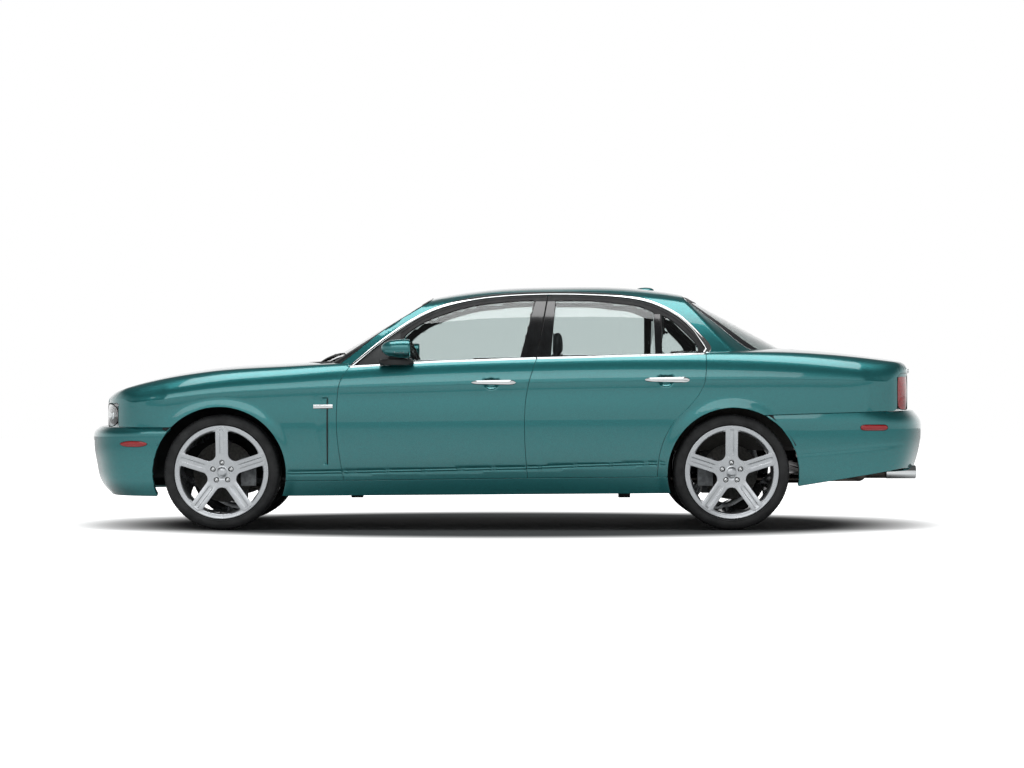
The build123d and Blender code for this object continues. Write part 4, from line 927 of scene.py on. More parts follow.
def makeBootLid():
    strips = []
    for y in np.linspace(-bootShape["half"], bootShape["half"], 65):
        endX = float(bootFaceX(y, 1100.0))
        xs = np.linspace(bootShape["front"], endX - bootShape["corner"], 34)
        zs = deckHeight(xs, np.full_like(xs, y))
        deckLine = columns(xs, zs)
        cornerZ = float(deckHeight(np.array([endX]), np.array([y]))[0])
        faceTop = cornerZ - bootShape["corner"]
        t = np.linspace(0, 1, 9)[1:-1, None]
        p0, p1 = deckLine[-1], np.array([endX, cornerZ])
        p2 = np.array([float(bootFaceX(y, faceTop)), faceTop])
        round_ = (1 - t) ** 2 * p0 + 2 * t * (1 - t) * p1 + t**2 * p2
        down = np.linspace(faceTop, bootShape["lip"], 18)
        face = columns(bootFaceX(y, down), down)
        line = np.concatenate([deckLine, round_, face])
        strips.append(columns(line[:, 0], y, line[:, 1]))
    points, faces = gridPatch(strips)
    return shell("bootLidSkin", points, faces, [paint, underside], bootShape["deep"], outward=(0, 0, 1))


place(makeBootLid(), "boot_lid", ["boot_lid"])
print("bonnet and boot lid made")


# bumpers

frontBumper = {
    "rows": [(203, -2440, 872), (262, -2490, 894), (400, -2530, 914), (520, -2545, 920), (590, -2535, 918),
    (612, -2508, 908)],
    "way": 1, "end": -1950.0, "arch": "front",
    "heights": [204, 210, 220, 236, 258, 280, 304, 326, 331, 336, 350, 380, 402, 420, 440, 470, 500, 525, 548, 566,
    580, 590, 597, 603, 608, 611],
    "intake": {"half": 430.0, "z": (258.0, 402.0), "back": 46.0, "bars": 2, "bar": 12.0},
}
rearBumper = {
    "rows": [(240, 2440, 886), (366, 2500, 905), (480, 2533, 914), (570, 2545, 917), (660, 2538, 915),
    (716, 2494, 904)],
    "way": -1, "end": 1484.0, "arch": "rear",
    "top": [(1480, 680), (2380, 709), (2700, 713)], "foot": [(1480, 240), (1725, 264), (2360, 368), (2700, 374)],
    "shares": [0, 0.015, 0.05, 0.1, 0.17, 0.25, 0.32, 0.36, 0.38, 0.4, 0.42, 0.44, 0.46, 0.48, 0.52, 0.58, 0.66, 0.74,
        0.82, 0.89, 0.94, 0.97, 1],
}
bumperCurve = [(420, 0.992), (150, 0.985), (6, 0.88), (-14, 0.50)]
bumperSteps = np.linspace(0, 1, 161)


def bumperPlan(shape, z):  # the plan curve of a bumper at a height, from its left end to its right end
    tip, half = rowSpline(shape["rows"])(np.array([float(z)]))[0]
    way = shape["way"]
    tip += way * 1.0
    near = [(tip + way * back, -half * share) for back, share in bumperCurve]
    ctrl = near + [(tip - way * 12, 0.0)] + [(x, -y) for x, y in near[::-1]]
    curve = bezier([np.repeat([p], len(bumperSteps), 0).astype(float) for p in ctrl], bumperSteps)
    return np.concatenate([[(shape["end"], -half)], curve, [(shape["end"], half)]])


def runOf(line):  # distance gone at each point of a line
    return np.concatenate([[0], np.cumsum(norm(np.diff(line, axis=0), axis=1))])


def evenly(line, at):  # a plan line read at distances along it, or in a number of even steps
    run = runOf(line)
    at = np.linspace(0, run[-1], at) if isinstance(at, int) else at
    return columns(np.interp(at, run, line[:, 0]), np.interp(at, run, line[:, 1]))


def clipped(line, edgeX, way, count):  # keeps the part beyond edgeX, in even steps
    dense = straightLine(line, 4.0)
    return evenly(dense[(dense[:, 0] - edgeX) * way < 0], count)


def makeFrontBumper():
    rows = []
    for z in frontBumper["heights"]:
        plan = clipped(bumperPlan(frontBumper, z), archEdge("front", z, -1), 1, 141)
        rows.append(np.column_stack([plan, np.full(len(plan), z)]))
    rows = np.array(rows)
    fold = np.exp(-((rows[:, :, 2] - 331) / 16) ** 2) * 3.0  # a low crease
    rows[:, :, 1] -= np.sign(rows[:, :, 1]) * fold * (np.abs(rows[:, :, 1]) > 600)
    points, faces = facingOut(*gridPatch(rows), (-2200, 0, 400))
    opening = frontBumper["intake"]
    low, high = opening["z"]

    def kept(face):  # leaves the intake open
        y, z = points[face][:, 1].mean(), points[face][:, 2].mean()
        return not (low < z < high and abs(y) < opening["half"])

    faces = [face for face in faces if kept(face)]
    return shell("frontBumperSkin", points, faces, [paint, underside], 26.0, edge=4.0, outward=None)


def makeIntake():  # the dark back of the intake and its bars
    opening = frontBumper["intake"]
    low, high = opening["z"]

    def across(z, reach, count, back):  # a row behind the bumper's skin
        plan = bumperPlan(frontBumper, z)
        front = plan[plan[:, 0] < -2300]
        ys = np.linspace(-opening["half"] - reach, opening["half"] + reach, count)
        return columns(np.interp(ys, front[:, 1], front[:, 0]) + back, ys, z)

    rows = [across(z, 16, 60, opening["back"]) for z in np.linspace(low - 14, high + 14, 8)]
    points, faces = facingOut(*gridPatch(rows), (-2200, 0, 330))
    made = [shell("intakeBack", points, faces, [blackPlastic], 5.0, edge=1.0, outward=None)]
    for k in range(opening["bars"]):
        line = across(low + (high - low) * (k + 1) / (opening["bars"] + 1), 10, 80, 30)
        points, faces = sweepMesh(line, np.tile([-1.0, 0, 0], (80, 1)), roundBar(opening["bar"], 18.0, 4.0, 3))
        made.append(solid("intakeBar" + str(k + 1), points, faces, blackPlastic))
    return made


def makeRearBumper():
    top, foot = np.array(rearBumper["top"], float), np.array(rearBumper["foot"], float)
    rows = []
    for share in rearBumper["shares"]:
        x = np.full(141, 2500.0)
        for _ in range(6):
            low, high = np.interp(x, foot[:, 0], foot[:, 1]), np.interp(x, top[:, 0], top[:, 1])
            z = low + (high - low) * share
            edge = archEdge("rear", z[0], 1)
            hs = np.array([z.min(), z.mean(), z.max()])
            plans = np.array([clipped(bumperPlan(rearBumper, h), edge, -1, 141) for h in hs])
            plan = plans[1]
            if hs[2] - hs[0] >= 1:
                plan = np.array([[np.interp(z[i], hs, plans[:, i, c]) for c in (0, 1)] for i in range(141)])
            x = plan[:, 0]
        rows.append(np.column_stack([plan, z]))
    rows = np.array(rows)
    level = np.interp(rows[:, :, 0], [1743, 2299, 2500], [455, 503, 520])  # a low crease that fades to the tail
    fold = 3.0 * np.exp(-((rows[:, :, 2] - level) / 11) ** 2) * smoothStep((2420 - rows[:, :, 0]) / 200)
    rows[:, :, 1] -= np.sign(rows[:, :, 1]) * fold * smoothStep((np.abs(rows[:, :, 1]) - 500) / 150)
    points, faces = facingOut(*gridPatch(rows), (2200, 0, 500))
    return shell("rearBumperSkin", points, faces, [paint, underside], 26.0, edge=4.0, outward=None)


place(makeFrontBumper(), "body", ["front_bumper"])
for piece in makeIntake():
    place(piece)
place(makeRearBumper(), "body", ["rear_bumper"])
print("bumpers made")


# the greenhouse

cabin = {
    "rows": [(-1260, 812, 1150), (-800, 832, 1300), (-455, 842, 1400), (-150, 848, 1450), (320, 850, 1472),
    (760, 848, 1464), (1080, 836, 1420), (1350, 800, 1350), (1780, 742, 1215)],
    "belt": 1000.0, "foot": 930.0, "top": 1472.0,
    "side": [(0.12, 20), (0.42, 88), (0.68, 150), (0.84, 215)], "roof": [(0.95, 262), (1.012, 400)], "crown": 1.012,
    "windscreen": [(940.0, -1240.0, -1133.0, 796.0), (1480.0, -329.0, -300.0, 600.0)],
    "backlight": [(940.0, 1974.0, 1589.0, 706.0), (1480.0, 966.0, 958.0, 560.0)],
    "roofSide": 556.0,
}
cabinSpline = rowSpline(cabin["rows"])


def cabinSection(x):  # half widths and heights of the greenhouse's section at x
    half, roof = cabinSpline(np.array([float(x)]))[0]
    rise, full = roof - cabin["belt"], cabin["top"] - cabin["belt"]
    side = [(half + 12, cabin["foot"])]
    side += [(half - inset * rise / full, cabin["belt"] + share * rise) for share, inset in cabin["side"]]
    over = side[-1:] + [(half - inset * rise / full, cabin["belt"] + share * rise)
        for share, inset in cabin["roof"]]
    over += [(0.0, cabin["belt"] + cabin["crown"] * rise)] + [(-y, z) for y, z in over[::-1]]
    first = bezier([np.repeat([p], 60, 0).astype(float) for p in side], np.linspace(0, 1, 60))
    second = bezier([np.repeat([p], 59, 0).astype(float) for p in over], np.linspace(0, 0.5, 60)[1:])
    return np.concatenate([first, second])


cabinKeys = np.arange(-1300, 1801, 10.0)
cabinTable = np.array([cabinSection(x) for x in cabinKeys])


def cabinAt(x):
    spot = np.clip((np.asarray(x, float) - cabinKeys[0]) / 10.0, 0, len(cabinKeys) - 1.001)
    i = spot.astype(int)
    t = (spot - i)[:, None, None]
    return cabinTable[i] * (1 - t) + cabinTable[i + 1] * t


def interpRows(target, keys, values):
    return np.array([np.interp(a, k, v) for a, k, v in zip(target, keys, values)])


def screenAt(which, z):  # a screen's plan curve at a height: x in the middle, x and half width at the corner
    low, high = np.array(cabin[which][0]), np.array(cabin[which][1])
    t = ((np.asarray(z, float) - low[0]) / (high[0] - low[0]))[..., None]
    return (low[1:] + (high[1:] - low[1:]) * t)


def screenX(which, y, z):
    middle, corner, half = np.moveaxis(screenAt(which, z), -1, 0)
    slope = 2 * (corner - middle) / half
    y = np.abs(y)
    return np.where(y < half, middle + (corner - middle) * (y / half) ** 2, corner + slope * (y - half))


def screenHalf(which, x, z):
    middle, corner, half = np.moveaxis(screenAt(which, z), -1, 0)
    slope = 2 * (corner - middle) / half
    share = np.clip((x - middle) / (corner - middle), 0, None)
    return np.where(share < 1, half * np.sqrt(share), half + (x - corner) / slope)


def greenHalf(x, z, inset=0.0, soft=22.0):  # half width of the greenhouse at a side-view place
    x, z = np.asarray(x, float), np.asarray(z, float)
    table = cabinAt(x)
    half = interpRows(z, table[:, :, 1], table[:, :, 0])
    for which in ("windscreen", "backlight"):
        half = smoothMin(half, screenHalf(which, x, z), soft)
    return half - inset


def roofHeight(x, y):
    x, y = np.asarray(x, float), np.abs(np.asarray(y, float))
    table = cabinAt(x)
    z = interpRows(-y, -table[:, :, 0], table[:, :, 1])
    levelsZ = np.linspace(940, 1480, 28)
    for which, way in (("windscreen", 1), ("backlight", -1)):
        xs = np.array([screenX(which, y, np.full_like(y, h)) for h in levelsZ])
        screen = np.array([np.interp(way * a, way * col, levelsZ) for a, col in zip(x, xs.T)])
        z = smoothMin(z, screen, 14.0)
    return z


def greenPoint(line, inset=0.0):
    line = np.asarray(line, float)
    return columns(line[:, 0], -greenHalf(line[:, 0], line[:, 1], inset), line[:, 1])


railLine = curveThrough([(-940, 972), (-724, 1148), (-482, 1303), (-240, 1379), (107, 1416), (496, 1415),
    (810, 1382), (1016, 1290), (1170, 1145), (1210, 1085), (1186, 1050)], 12)
screenEdge = curveThrough([(-1060, 966), (-1018, 975), (-721, 1204), (-500, 1342), (-452, 1376)], 12)
rearEdge = curveThrough([(1052, 1392), (1245, 1240), (1420, 1098), (1492, 1070)], 12)


def grow(loop, amount):
    along = np.roll(loop, -1, axis=0) - np.roll(loop, 1, axis=0)
    return loop + unit(columns(along[:, 1], -along[:, 0])) * amount * (1 if signedArea(loop) > 0 else -1)


def sideRoofLine(step=14.0):
    xs = np.arange(-448, 1046, step)
    return columns(xs, roofHeight(xs, np.full_like(xs, cabin["roofSide"] + gap)))


def deckSide(x):  # height at which the greenhouse leaves the body
    x = np.asarray(x, float)
    y = greenHalf(x, np.full_like(x, 1060.0))
    return deckHeight(x, y)


def makeSideFrame():
    roofLine = sideRoofLine()
    feet = np.arange(1486, 1196, -14.0)
    loop = joined(screenEdge, roofLine, rearEdge, columns(feet, deckSide(feet) - 4),
        straightLine([(1193, 1075), (1186, 1050)], 10)[:-1], railLine[::-1],
        straightLine([(-940, 966), (-1056, 958)], 12))
    points, faces = flatPatch(loop, [], 13.0)
    return shell("sideFrameSkin", greenPoint(points), faces, [paint, trim], 22.0)


bothSides(makeSideFrame(), "body", ["side_frames"])


def makeRoof():
    ys = np.linspace(-cabin["roofSide"] + gap, cabin["roofSide"] - gap, 61)
    ends = []
    for which, way in (("windscreen", 1), ("backlight", -1)):
        z = np.full_like(ys, 1400.0)
        for _ in range(8):
            x = screenX(which, ys, z) + way * 6
            table = cabinAt(x)
            z = interpRows(-np.abs(ys), -table[:, :, 0], table[:, :, 1])
        ends.append(x)
    shares = np.concatenate([[0, 0.004, 0.01, 0.018, 0.028], np.linspace(0.045, 0.955, 56),
        [0.972, 0.982, 0.99, 0.996, 1]])
    rows = []
    for share in shares:
        x = ends[0] + (ends[1] - ends[0]) * share
        rows.append(columns(x, ys, roofHeight(x, ys)))
    points, faces = gridPatch(rows)
    return shell("roofSkin", points, faces, [paint, palePlastic], 26.0, outward=(0, 0, 1))


place(makeRoof(), "body", ["roof"])


def makeScreen(which, lowZ, highZ, cutLine, way):
    rows = []
    cut = np.array(sorted(map(tuple, cutLine), key=lambda p: p[1]))
    for z in np.linspace(lowZ, highZ, 26):
        edgeX = float(np.interp(z, cut[:, 1], cut[:, 0])) - way * 5
        ys = np.linspace(0, 1000, 201)
        xs = screenX(which, ys, np.full_like(ys, z))
        table = cabinAt(np.clip(xs, -1290, 1790))
        front = ys < interpRows(np.full_like(xs, z), table[:, :, 1], table[:, :, 0])
        line = columns(xs[front], ys[front])
        if way * (edgeX - line[-1, 0]) > 6:
            far = np.arange(line[-1, 0] + way * 8, edgeX, way * 8.0)
            if len(far):
                table = cabinAt(far)
                y = interpRows(np.full_like(far, z), table[:, :, 1], table[:, :, 0])
                line = np.concatenate([line, columns(far, y)])
        else:
            line = line[way * (line[:, 0] - edgeX) < 0]
        half = evenly(line, 41)
        for _ in range(3):  # softens the bend at the corner
            half[1:-1] = (half[:-2] + 2 * half[1:-1] + half[2:]) / 4
        full = np.concatenate([half[::-1] * np.array([1, -1]), half[1:]])
        rows.append(columns(full[:, 0], full[:, 1], z))
    return np.array(rows)


windscreenRows = makeScreen("windscreen", 968, 1392, screenEdge, 1)
backlightRows = makeScreen("backlight", 1050, 1398, rearEdge, -1)
for label, rows, lean in (("windscreenGlass", windscreenRows, 1), ("backlightGlass", backlightRows, -1)):
    rows = rows + np.array([lean * 5.0, 0, -4.0])
    points, faces = gridPatch(rows)
    pane = shell(label, points, faces, [glass], 5.0, edge=1.0, outward=(-lean, 0, 1))
    place(pane, "body", ["screens"])
print("roof and screens made")


# window frames, glass and bright trim

windows = {
    "frontTop": [(-632, 1139), (-590, 1183), (-470, 1256), (-230, 1336), (0, 1367), (100, 1374), (150, 1376)],
    "frontRear": [(168, 1369), (120, 1190), (76, 1024)], "frontFoot": -632.0,
    "rearTop": [(296, 1374), (500, 1373), (700, 1353), (790, 1340), (868, 1309)],
    "rearFront": [(258, 1036), (289, 1368)],
    "rearRear": [(878, 1300), (884, 1046)],
    "quarterTop": [(926, 1284), (980, 1258), (1060, 1188), (1116, 1128), (1140, 1088), (1138, 1062), (1122, 1053)],
    "quarterFoot": 922.0,
    "middle": [(173, 1013), (246, 1417)], "rail": 8.5, "seam": 2.5, "sail": -640.0,
    "frameInset": 8.0, "frameDeep": 15.0, "glassInset": 13.0, "glassThick": 4.0,
}
sillOfGlass = 9.0  # the glass starts this far above the belt line


def inward(line, amount):  # a line moved to its right, towards the windows
    along = np.gradient(line, axis=0)
    return line + unit(columns(along[:, 1], -along[:, 0])) * amount


def middleX(z):  # where the two doors' window frames meet
    (x0, z0), (x1, z1) = windows["middle"]
    return x0 + (x1 - x0) * (np.asarray(z, float) - z0) / (z1 - z0)


def beltRun(x0, x1, step=14.0, rise=0.0):
    xs = np.linspace(x0, x1, max(2, int(abs(x1 - x0) / step)))
    return columns(xs, beltAt(xs) + rise)


def sidePatch(name, outline, holes, step, depth, mats, inset, edge=1.5):
    points, faces = flatPatch(outline, holes, step)
    return shell(name, greenPoint(points, inset), faces, mats, depth, edge=edge)


def glassLoops():
    shape = windows
    step = 12
    frontX = shape["frontRear"][-1][0]
    front = joined(curveThrough(shape["frontTop"], step), curveThrough(shape["frontRear"], step),
        beltRun(frontX, shape["frontFoot"], step, sillOfGlass))
    rear = joined(curveThrough(shape["rearTop"], step), straightLine(shape["rearRear"], step),
        beltRun(shape["rearRear"][-1][0], 258, step, sillOfGlass), straightLine(shape["rearFront"], step))
    quarter = joined(curveThrough(shape["quarterTop"], step), beltRun(1112, shape["quarterFoot"], step, sillOfGlass))
    return front, rear, quarter


frontGlass, rearGlass, quarterGlass = glassLoops()
frameEdge = inward(railLine, windows["rail"] + windows["seam"])


def frameLoops():
    rise = frameEdge[:, 1] - beltAt(frameEdge[:, 0])
    off = frameEdge[:, 0] - middleX(frameEdge[:, 1])
    front, rear = frameEdge[(off < -3) & (rise > 5)], frameEdge[(off > 3) & (rise > 5)]
    z = np.arange(beltAt(middleX(1020)) + 4, 1403, 12.0)
    one, two = columns(middleX(z) - 3, z), columns(middleX(z) + 3, z)
    return (joined(front, one[::-1], beltRun(one[0, 0], front[0, 0], 14, 4)),
        joined(two, rear, beltRun(rear[-1, 0], two[0, 0], 14, 4)))


frontFrame, rearFrame = frameLoops()
inset, deep = windows["frameInset"], windows["frameDeep"]
bothSides(sidePatch("frontWindowFrame", frontFrame, [frontGlass], 14, deep, [seal], inset), "front_door_{side}")
bothSides(sidePatch("rearWindowFrame", rearFrame, [rearGlass, quarterGlass], 14, deep, [seal], inset),
    "rear_door_{side}")
for label, loops in (("front", [frontGlass]), ("rear", [rearGlass, quarterGlass])):
    for index, loop in enumerate(loops):
        name = label + ("Window" if index == 0 else "QuarterWindow") + "Glass"
        pane = sidePatch(name, grow(loop, 5.0), [], 18, windows["glassThick"], [glass],
            windows["glassInset"], 0.8)
        bothSides(pane, label + "_door_{side}", [label + "_door_glass_{side}"])


def pillarCovers():  # gloss covers on the two doors at the middle post
    z = np.arange(float(beltAt(165)) + 12, 1372, 14.0)
    shut = columns(middleX(z), z)
    frontEdge = columns(np.interp(z, [1024, 1190, 1369], [78, 122, 170]), z)
    backEdge = columns(np.interp(z, [1036, 1368], [256, 287]), z)
    for name, one, two, body in (("frontPillarCover", frontEdge, shifted(shut, -5), "front_door_{side}"),
                                 ("rearPillarCover", shifted(shut, 5), backEdge, "rear_door_{side}")):
        loop = joined(one, two[::-1])
        bothSides(sidePatch(name, loop, [], 13, 5.0, [frit], 3.0), body)
    bar = np.arange(float(beltAt(900)) + 12, 1300, 14.0)
    top = np.interp(bar, [1046, 1300], [884, 878])
    loop = joined(columns(top + 2, bar), columns(np.interp(bar, [1046, 1300], [921, 915]), bar)[::-1])
    bothSides(sidePatch("quarterBarCover", loop, [], 12, 5.0, [frit], 3.5), "rear_door_{side}")


pillarCovers()


def sailCover():  # the grained triangle that carries the mirror
    line = frameEdge[(frameEdge[:, 0] > -915) & (frameEdge[:, 0] < windows["sail"])]
    line = inward(line, 13)
    line = line[line[:, 1] > beltAt(line[:, 0]) + 14]
    loop = joined(line, straightLine([(windows["sail"], float(line[-1, 1])),
        (windows["sail"], float(beltAt(-640)) + 11)], 12),
        beltRun(windows["sail"], float(line[0, 0]), 12, 11))
    return sidePatch("sailCover", loop, [], 12, 5.0, [trim], 4.0)


bothSides(sailCover(), "front_door_{side}")


def sealBeads():  # the ribbed rubber that shows between the bright strip and the glass
    line = inward(railLine, windows["rail"] + 13.5)
    line = line[line[:, 1] > beltAt(line[:, 0]) + 16]
    split = line[:, 0] < middleX(line[:, 1])
    for name, part, body in (("frontFrameBead", line[split][:-1], "front_door_{side}"),
                             ("rearFrameBead", line[~split][1:], "rear_door_{side}")):
        spots = greenPoint(part, inset)
        across = greenPoint(part, inset - 10)
        points, faces = sweepMesh(spots, unit(across - spots), roundBar(13, 5, 2, 3))
        bothSides(solid(name, points, faces, trim, 60), body)


sealBeads()


def strip(name, surface, centre, widths, crown, lift, mats, cap=3.0):  # a crowned strip on one of the side surfaces
    along = np.gradient(centre, axis=0)
    across = unit(columns(-along[:, 1], along[:, 0]))
    half = np.broadcast_to(np.asarray(widths, float), (len(centre),)) / 2
    left = [(-1.0, -cap), (-1.0, crown * 0.35), (-0.86, crown * 0.72), (-0.5, crown * 0.95)]
    profile = left + [(0.0, crown)] + [(-share, out) for share, out in left[::-1]]
    rows = [surface(centre + across * (half * share)[:, None], -out - lift) for share, out in profile]
    return closedRows(name, np.stack(rows, axis=1), mats, 50)


def upperStrip():  # bright strip over the windows, on the body, wider at the rear corner
    run = runOf(railLine)
    extra = 17.0 * smoothStep(1 - np.abs(run[-1] - run - 62) / 150.0)
    centre = railLine + (inward(railLine, 1.0) - railLine) * (extra * 0.5)[:, None]
    return strip("windowBrightStrip", greenPoint, centre, 17.0 + extra, 4.0, 0.0, chrome)


bothSides(upperStrip(), "body", ())


def beltStrip(name, x0, x1):  # bright moulding and wiper rubber along the foot of the glass
    xs = np.linspace(x0, x1, int((x1 - x0) / 14) + 2)
    belt = beltAt(xs)
    edge = lowerPoint(fromSide(columns(xs, belt)))[:, 1]
    inner = -greenHalf(xs, belt + 8) - 1.0
    share = [(0.0, -3.0), (0.0, 5.0), (0.06, 8.5), (0.16, 10.5), (0.34, 11.5), (0.52, 11.0), (0.56, 9.0), (0.56, -3.0)]
    rubberShare = [(0.57, -3.0), (0.57, 8.0), (0.66, 9.0), (0.86, 8.5), (0.99, 7.0), (0.99, -3.0)]
    made = []
    for label, profile, mat in ((name + "Bright", share, chrome), (name + "Wiper", rubberShare, seal)):
        rows = [columns(xs, edge - 1.5 + (inner - edge + 1.5) * a, belt + h) for a, h in profile]
        made.append(closedRows(label, np.stack(rows, axis=1), mat, 45))
    return made


for label, x0, x1 in (("front", -935.0, 170.0), ("rear", 177.0, 1172.0)):
    bright, wiper = beltStrip(label + "Belt", x0, x1)
    bothSides(bright, label + "_door_{side}", ())
    bothSides(wiper, label + "_door_{side}")
print("window frames, glass and bright strips made")


# road wheels

wheel = {
    "y": 778.0, "z": 345.0, "x": {"front": -1700.0, "rear": 1334.0}, "spokes": 5, "spokeHalf": 35.0,
    "hubFillet": 42.0, "windowOuter": 248.0, "corner": 10.0, "toe": 265.0, "toeHalf": 33.0, "deep": 34.0,
    "dish": [(0, 86), (60, 86), (84, 88), (120, 94), (180, 105), (235, 115), (262, 118.4)],
    "channel": (12.0, 3.4), "channelSpan": (98.0, 257.0), "nutCircle": 57.15, "nutHole": 17.5, "cap": 31.0,
}
hubX, hubY, hubZ = (wheel[key] for key in "xyz")
nutSizes = {"Count": 5, "Circle Radius": 57.15, "Hex Radius": 10.5, "Hex Height": 13.0}


def spokeSpots(a, b):  # distance along and across the nearest spoke
    r, turn = np.hypot(a, b), np.degrees(np.arctan2(b, a))
    step = 360 / wheel["spokes"]
    off = np.radians(turn - 90 - step * np.round((turn - 90) / step))
    return r, r * np.cos(off), r * np.sin(off)


def faceHeight(a, b):  # how far outboard the wheel's face stands
    r, along, across = spokeSpots(a, b)
    height = rowSpline(wheel["dish"])(r)[..., 0]
    half, deep = wheel["channel"]
    start, end = wheel["channelSpan"]
    channel = smoothStep((half + 1.8 - np.abs(across)) / 3.6) * smoothStep((along - start) / 18)
    height -= deep * channel * smoothStep((end - along) / 4)
    height -= 1.6 * (np.abs(across) / wheel["spokeHalf"]) ** 4 * (r > 95)
    ring = smoothStep((46 - r) / 4) * smoothStep((r - 33) / 4)
    return height - 2.0 * ring


def spokeWindow(index):  # one opening between two spokes
    n, half, fillet = wheel["spokes"], wheel["spokeHalf"], wheel["hubFillet"]
    lean, spread = radians(180 / n), 90 - 180 / n
    outer, corner = wheel["windowOuter"], wheel["corner"]
    inner = arcLine(((half + fillet) / sin(lean), 0), fillet, 180 - spread, 180 + spread, 5)
    edge = lean - asin(half / outer)
    inside = edge - corner / outer
    tip = outer * np.array([cos(edge), sin(edge)])
    far = outer * np.array([cos(inside), sin(inside)])
    stop = tip - corner * np.array([cos(lean), sin(lean)])
    t = np.linspace(0, 1, 5)[:, None]
    bend = (1 - t) ** 2 * stop + 2 * t * (1 - t) * tip + t**2 * far
    upper = joined(straightLine([tuple(inner[0]), tuple(stop)], 9), bend)
    arc = arcLine((0, 0), outer, degrees(inside), -degrees(inside), 9)
    loop = joined(inner[::-1], upper, arc, (upper * np.array([1, -1]))[::-1][:-1])
    turn = radians(90 + 180 / n + index * 360 / n)
    c, s = cos(turn), sin(turn)
    return columns(loop[:, 0] * c - loop[:, 1] * s, loop[:, 0] * s + loop[:, 1] * c)


def faceOutline():  # a circle with a toe at the end of each spoke
    turn = np.radians(np.arange(0, 360, 1.25))
    c, s = np.cos(turn), np.sin(turn)
    across = spokeSpots(c, s)[2]
    out = np.where(np.abs(across) * wheel["toe"] < wheel["toeHalf"], wheel["toe"], 251.0)
    return columns(out * c, out * s)


def onWheel(a, b, out, end):  # left-hand wheel: distance outboard of its middle plane to a place on the car
    return np.stack([hubX[end] + a, -(hubY + out), hubZ + b], -1)


def wheelFace(end):
    count = wheel["spokes"]
    nuts = [90 + 360 / count * k for k in range(count)]
    holes = [spokeWindow(k) for k in range(count)]
    circle = arcLine((0, 0), 1.0, 0, 360, 0.2)[:-1]
    for turn in nuts:
        c = np.array([cos(radians(turn)), sin(radians(turn))]) * wheel["nutCircle"]
        holes.append(c + circle * wheel["nutHole"])
    holes.append(circle * wheel["cap"])
    lines = []
    for turn in nuts:
        c, s = cos(radians(turn)), sin(radians(turn))
        along = np.arange(100, 262, 6.0)
        for across in (-14, -12, -10, 10, 12, 14, -30, 30):
            lines.append(columns(along * c - across * s, along * s + across * c))
    for r in (36, 40, 44, 84, 92):
        lines.append(arcLine((0, 0), r, 0, 359, 7))
    points, faces = flatPatch(faceOutline(), holes, 8.0, lines)
    face = onWheel(points[:, 0], points[:, 1], faceHeight(points[:, 0], points[:, 1]), end)
    verts, allFaces, _, normals = shellParts(face, faces, wheel["deep"], 3.0, 4.0, (0, -1, 0))
    r = np.hypot(verts[:, 0] - hubX[end], verts[:, 2] - hubZ)
    out = -verts[:, 1] - hubY
    verts[:, 1] = np.where((r > 252) & (out < 113), -(hubY + 113), verts[:, 1])
    return makeObject(end + "WheelSpokes", verts, allFaces, wheelSilver, None, normals)


rimProfile = [(111, 253), (111, 275), (112, 278), (114, 279), (117, 278.6), (118.6, 276.5), (118.6, 273),
    (116.5, 268), (115.6, 258), (114.6, 253), (112, 249.5), (107, 247.5), (96, 246), (40, 244.5),
    (-60, 244.5), (-108, 245), (-117, 250), (-119, 256), (-119, 277), (-117, 279), (-111, 279), (-111, 253)]
tyreSide = [(111, 253), (111, 279), (114, 281), (119, 283.5), (121.5, 286), (122.2, 289), (121.2, 291.5),
    (122.4, 296), (123.6, 303), (123.9, 309), (123.2, 316), (122.9, 317.5), (121.6, 318.2), (121.2, 320),
    (119.6, 325), (116.4, 331), (112, 336), (106.5, 339.8)]
treadGrooves = {"places": (-62, -22, 22, 62), "half": 4.6, "deep": 7.5, "pitches": 72, "sipe": 5.5}


def wheelSpin(profile, count, end, spot=(0, 0)):
    turned = [(-(hubY + y), r) for y, r in profile]
    return spinMesh(turned, count, (hubX[end] + spot[0], hubZ + spot[1]))


def wheelRim(end):
    points, faces = wheelSpin(rimProfile, 144, end)
    return solid(end + "WheelRim", points, faces, wheelSilver, 40)


def tyreMesh(end):  # moulded sidewalls, four grooves round it and blocks across the shoulders
    crown = [(98, 342.4), (84, 343.6)]
    for spot in sorted(treadGrooves["places"], reverse=True):
        h, low = treadGrooves["half"], 344.4 - treadGrooves["deep"]
        crown += [(spot + h, 344.2), (spot + h - 0.8, low), (spot - h + 0.8, low), (spot - h, 344.2)]
    crown += [(-84, 343.6), (-98, 342.4)]
    profile = np.array(tyreSide + crown + [(-y, r) for y, r in tyreSide[::-1]], float)
    shoulder = (np.abs(profile[:, 0]) > 68) & (profile[:, 1] > 335)
    rows = []
    for k in range(treadGrooves["pitches"]):
        pitch = 2 * pi / treadGrooves["pitches"]
        cut = treadGrooves["sipe"] / 344 / pitch
        for share, low in ((0.0, 0), (1 - cut - 0.02, 0), (1 - cut, 1), (0.985, 1)):
            a = (k + share) * pitch
            r = profile[:, 1] - np.where(shoulder, 5.0 * low, 0)
            rows.append(columns(hubX[end] + r * cos(a), -(hubY + profile[:, 0]), hubZ + r * sin(a)))
    rows = np.array(rows)
    n, m = rows.shape[:2]
    faces = [[i * m + j, ((i + 1) % n) * m + j, ((i + 1) % n) * m + (j + 1) % m, i * m + (j + 1) % m]
        for i in range(n) for j in range(m)]
    return solid(end + "Tyre", rows.reshape(-1, 3), faces, rubber, 34)


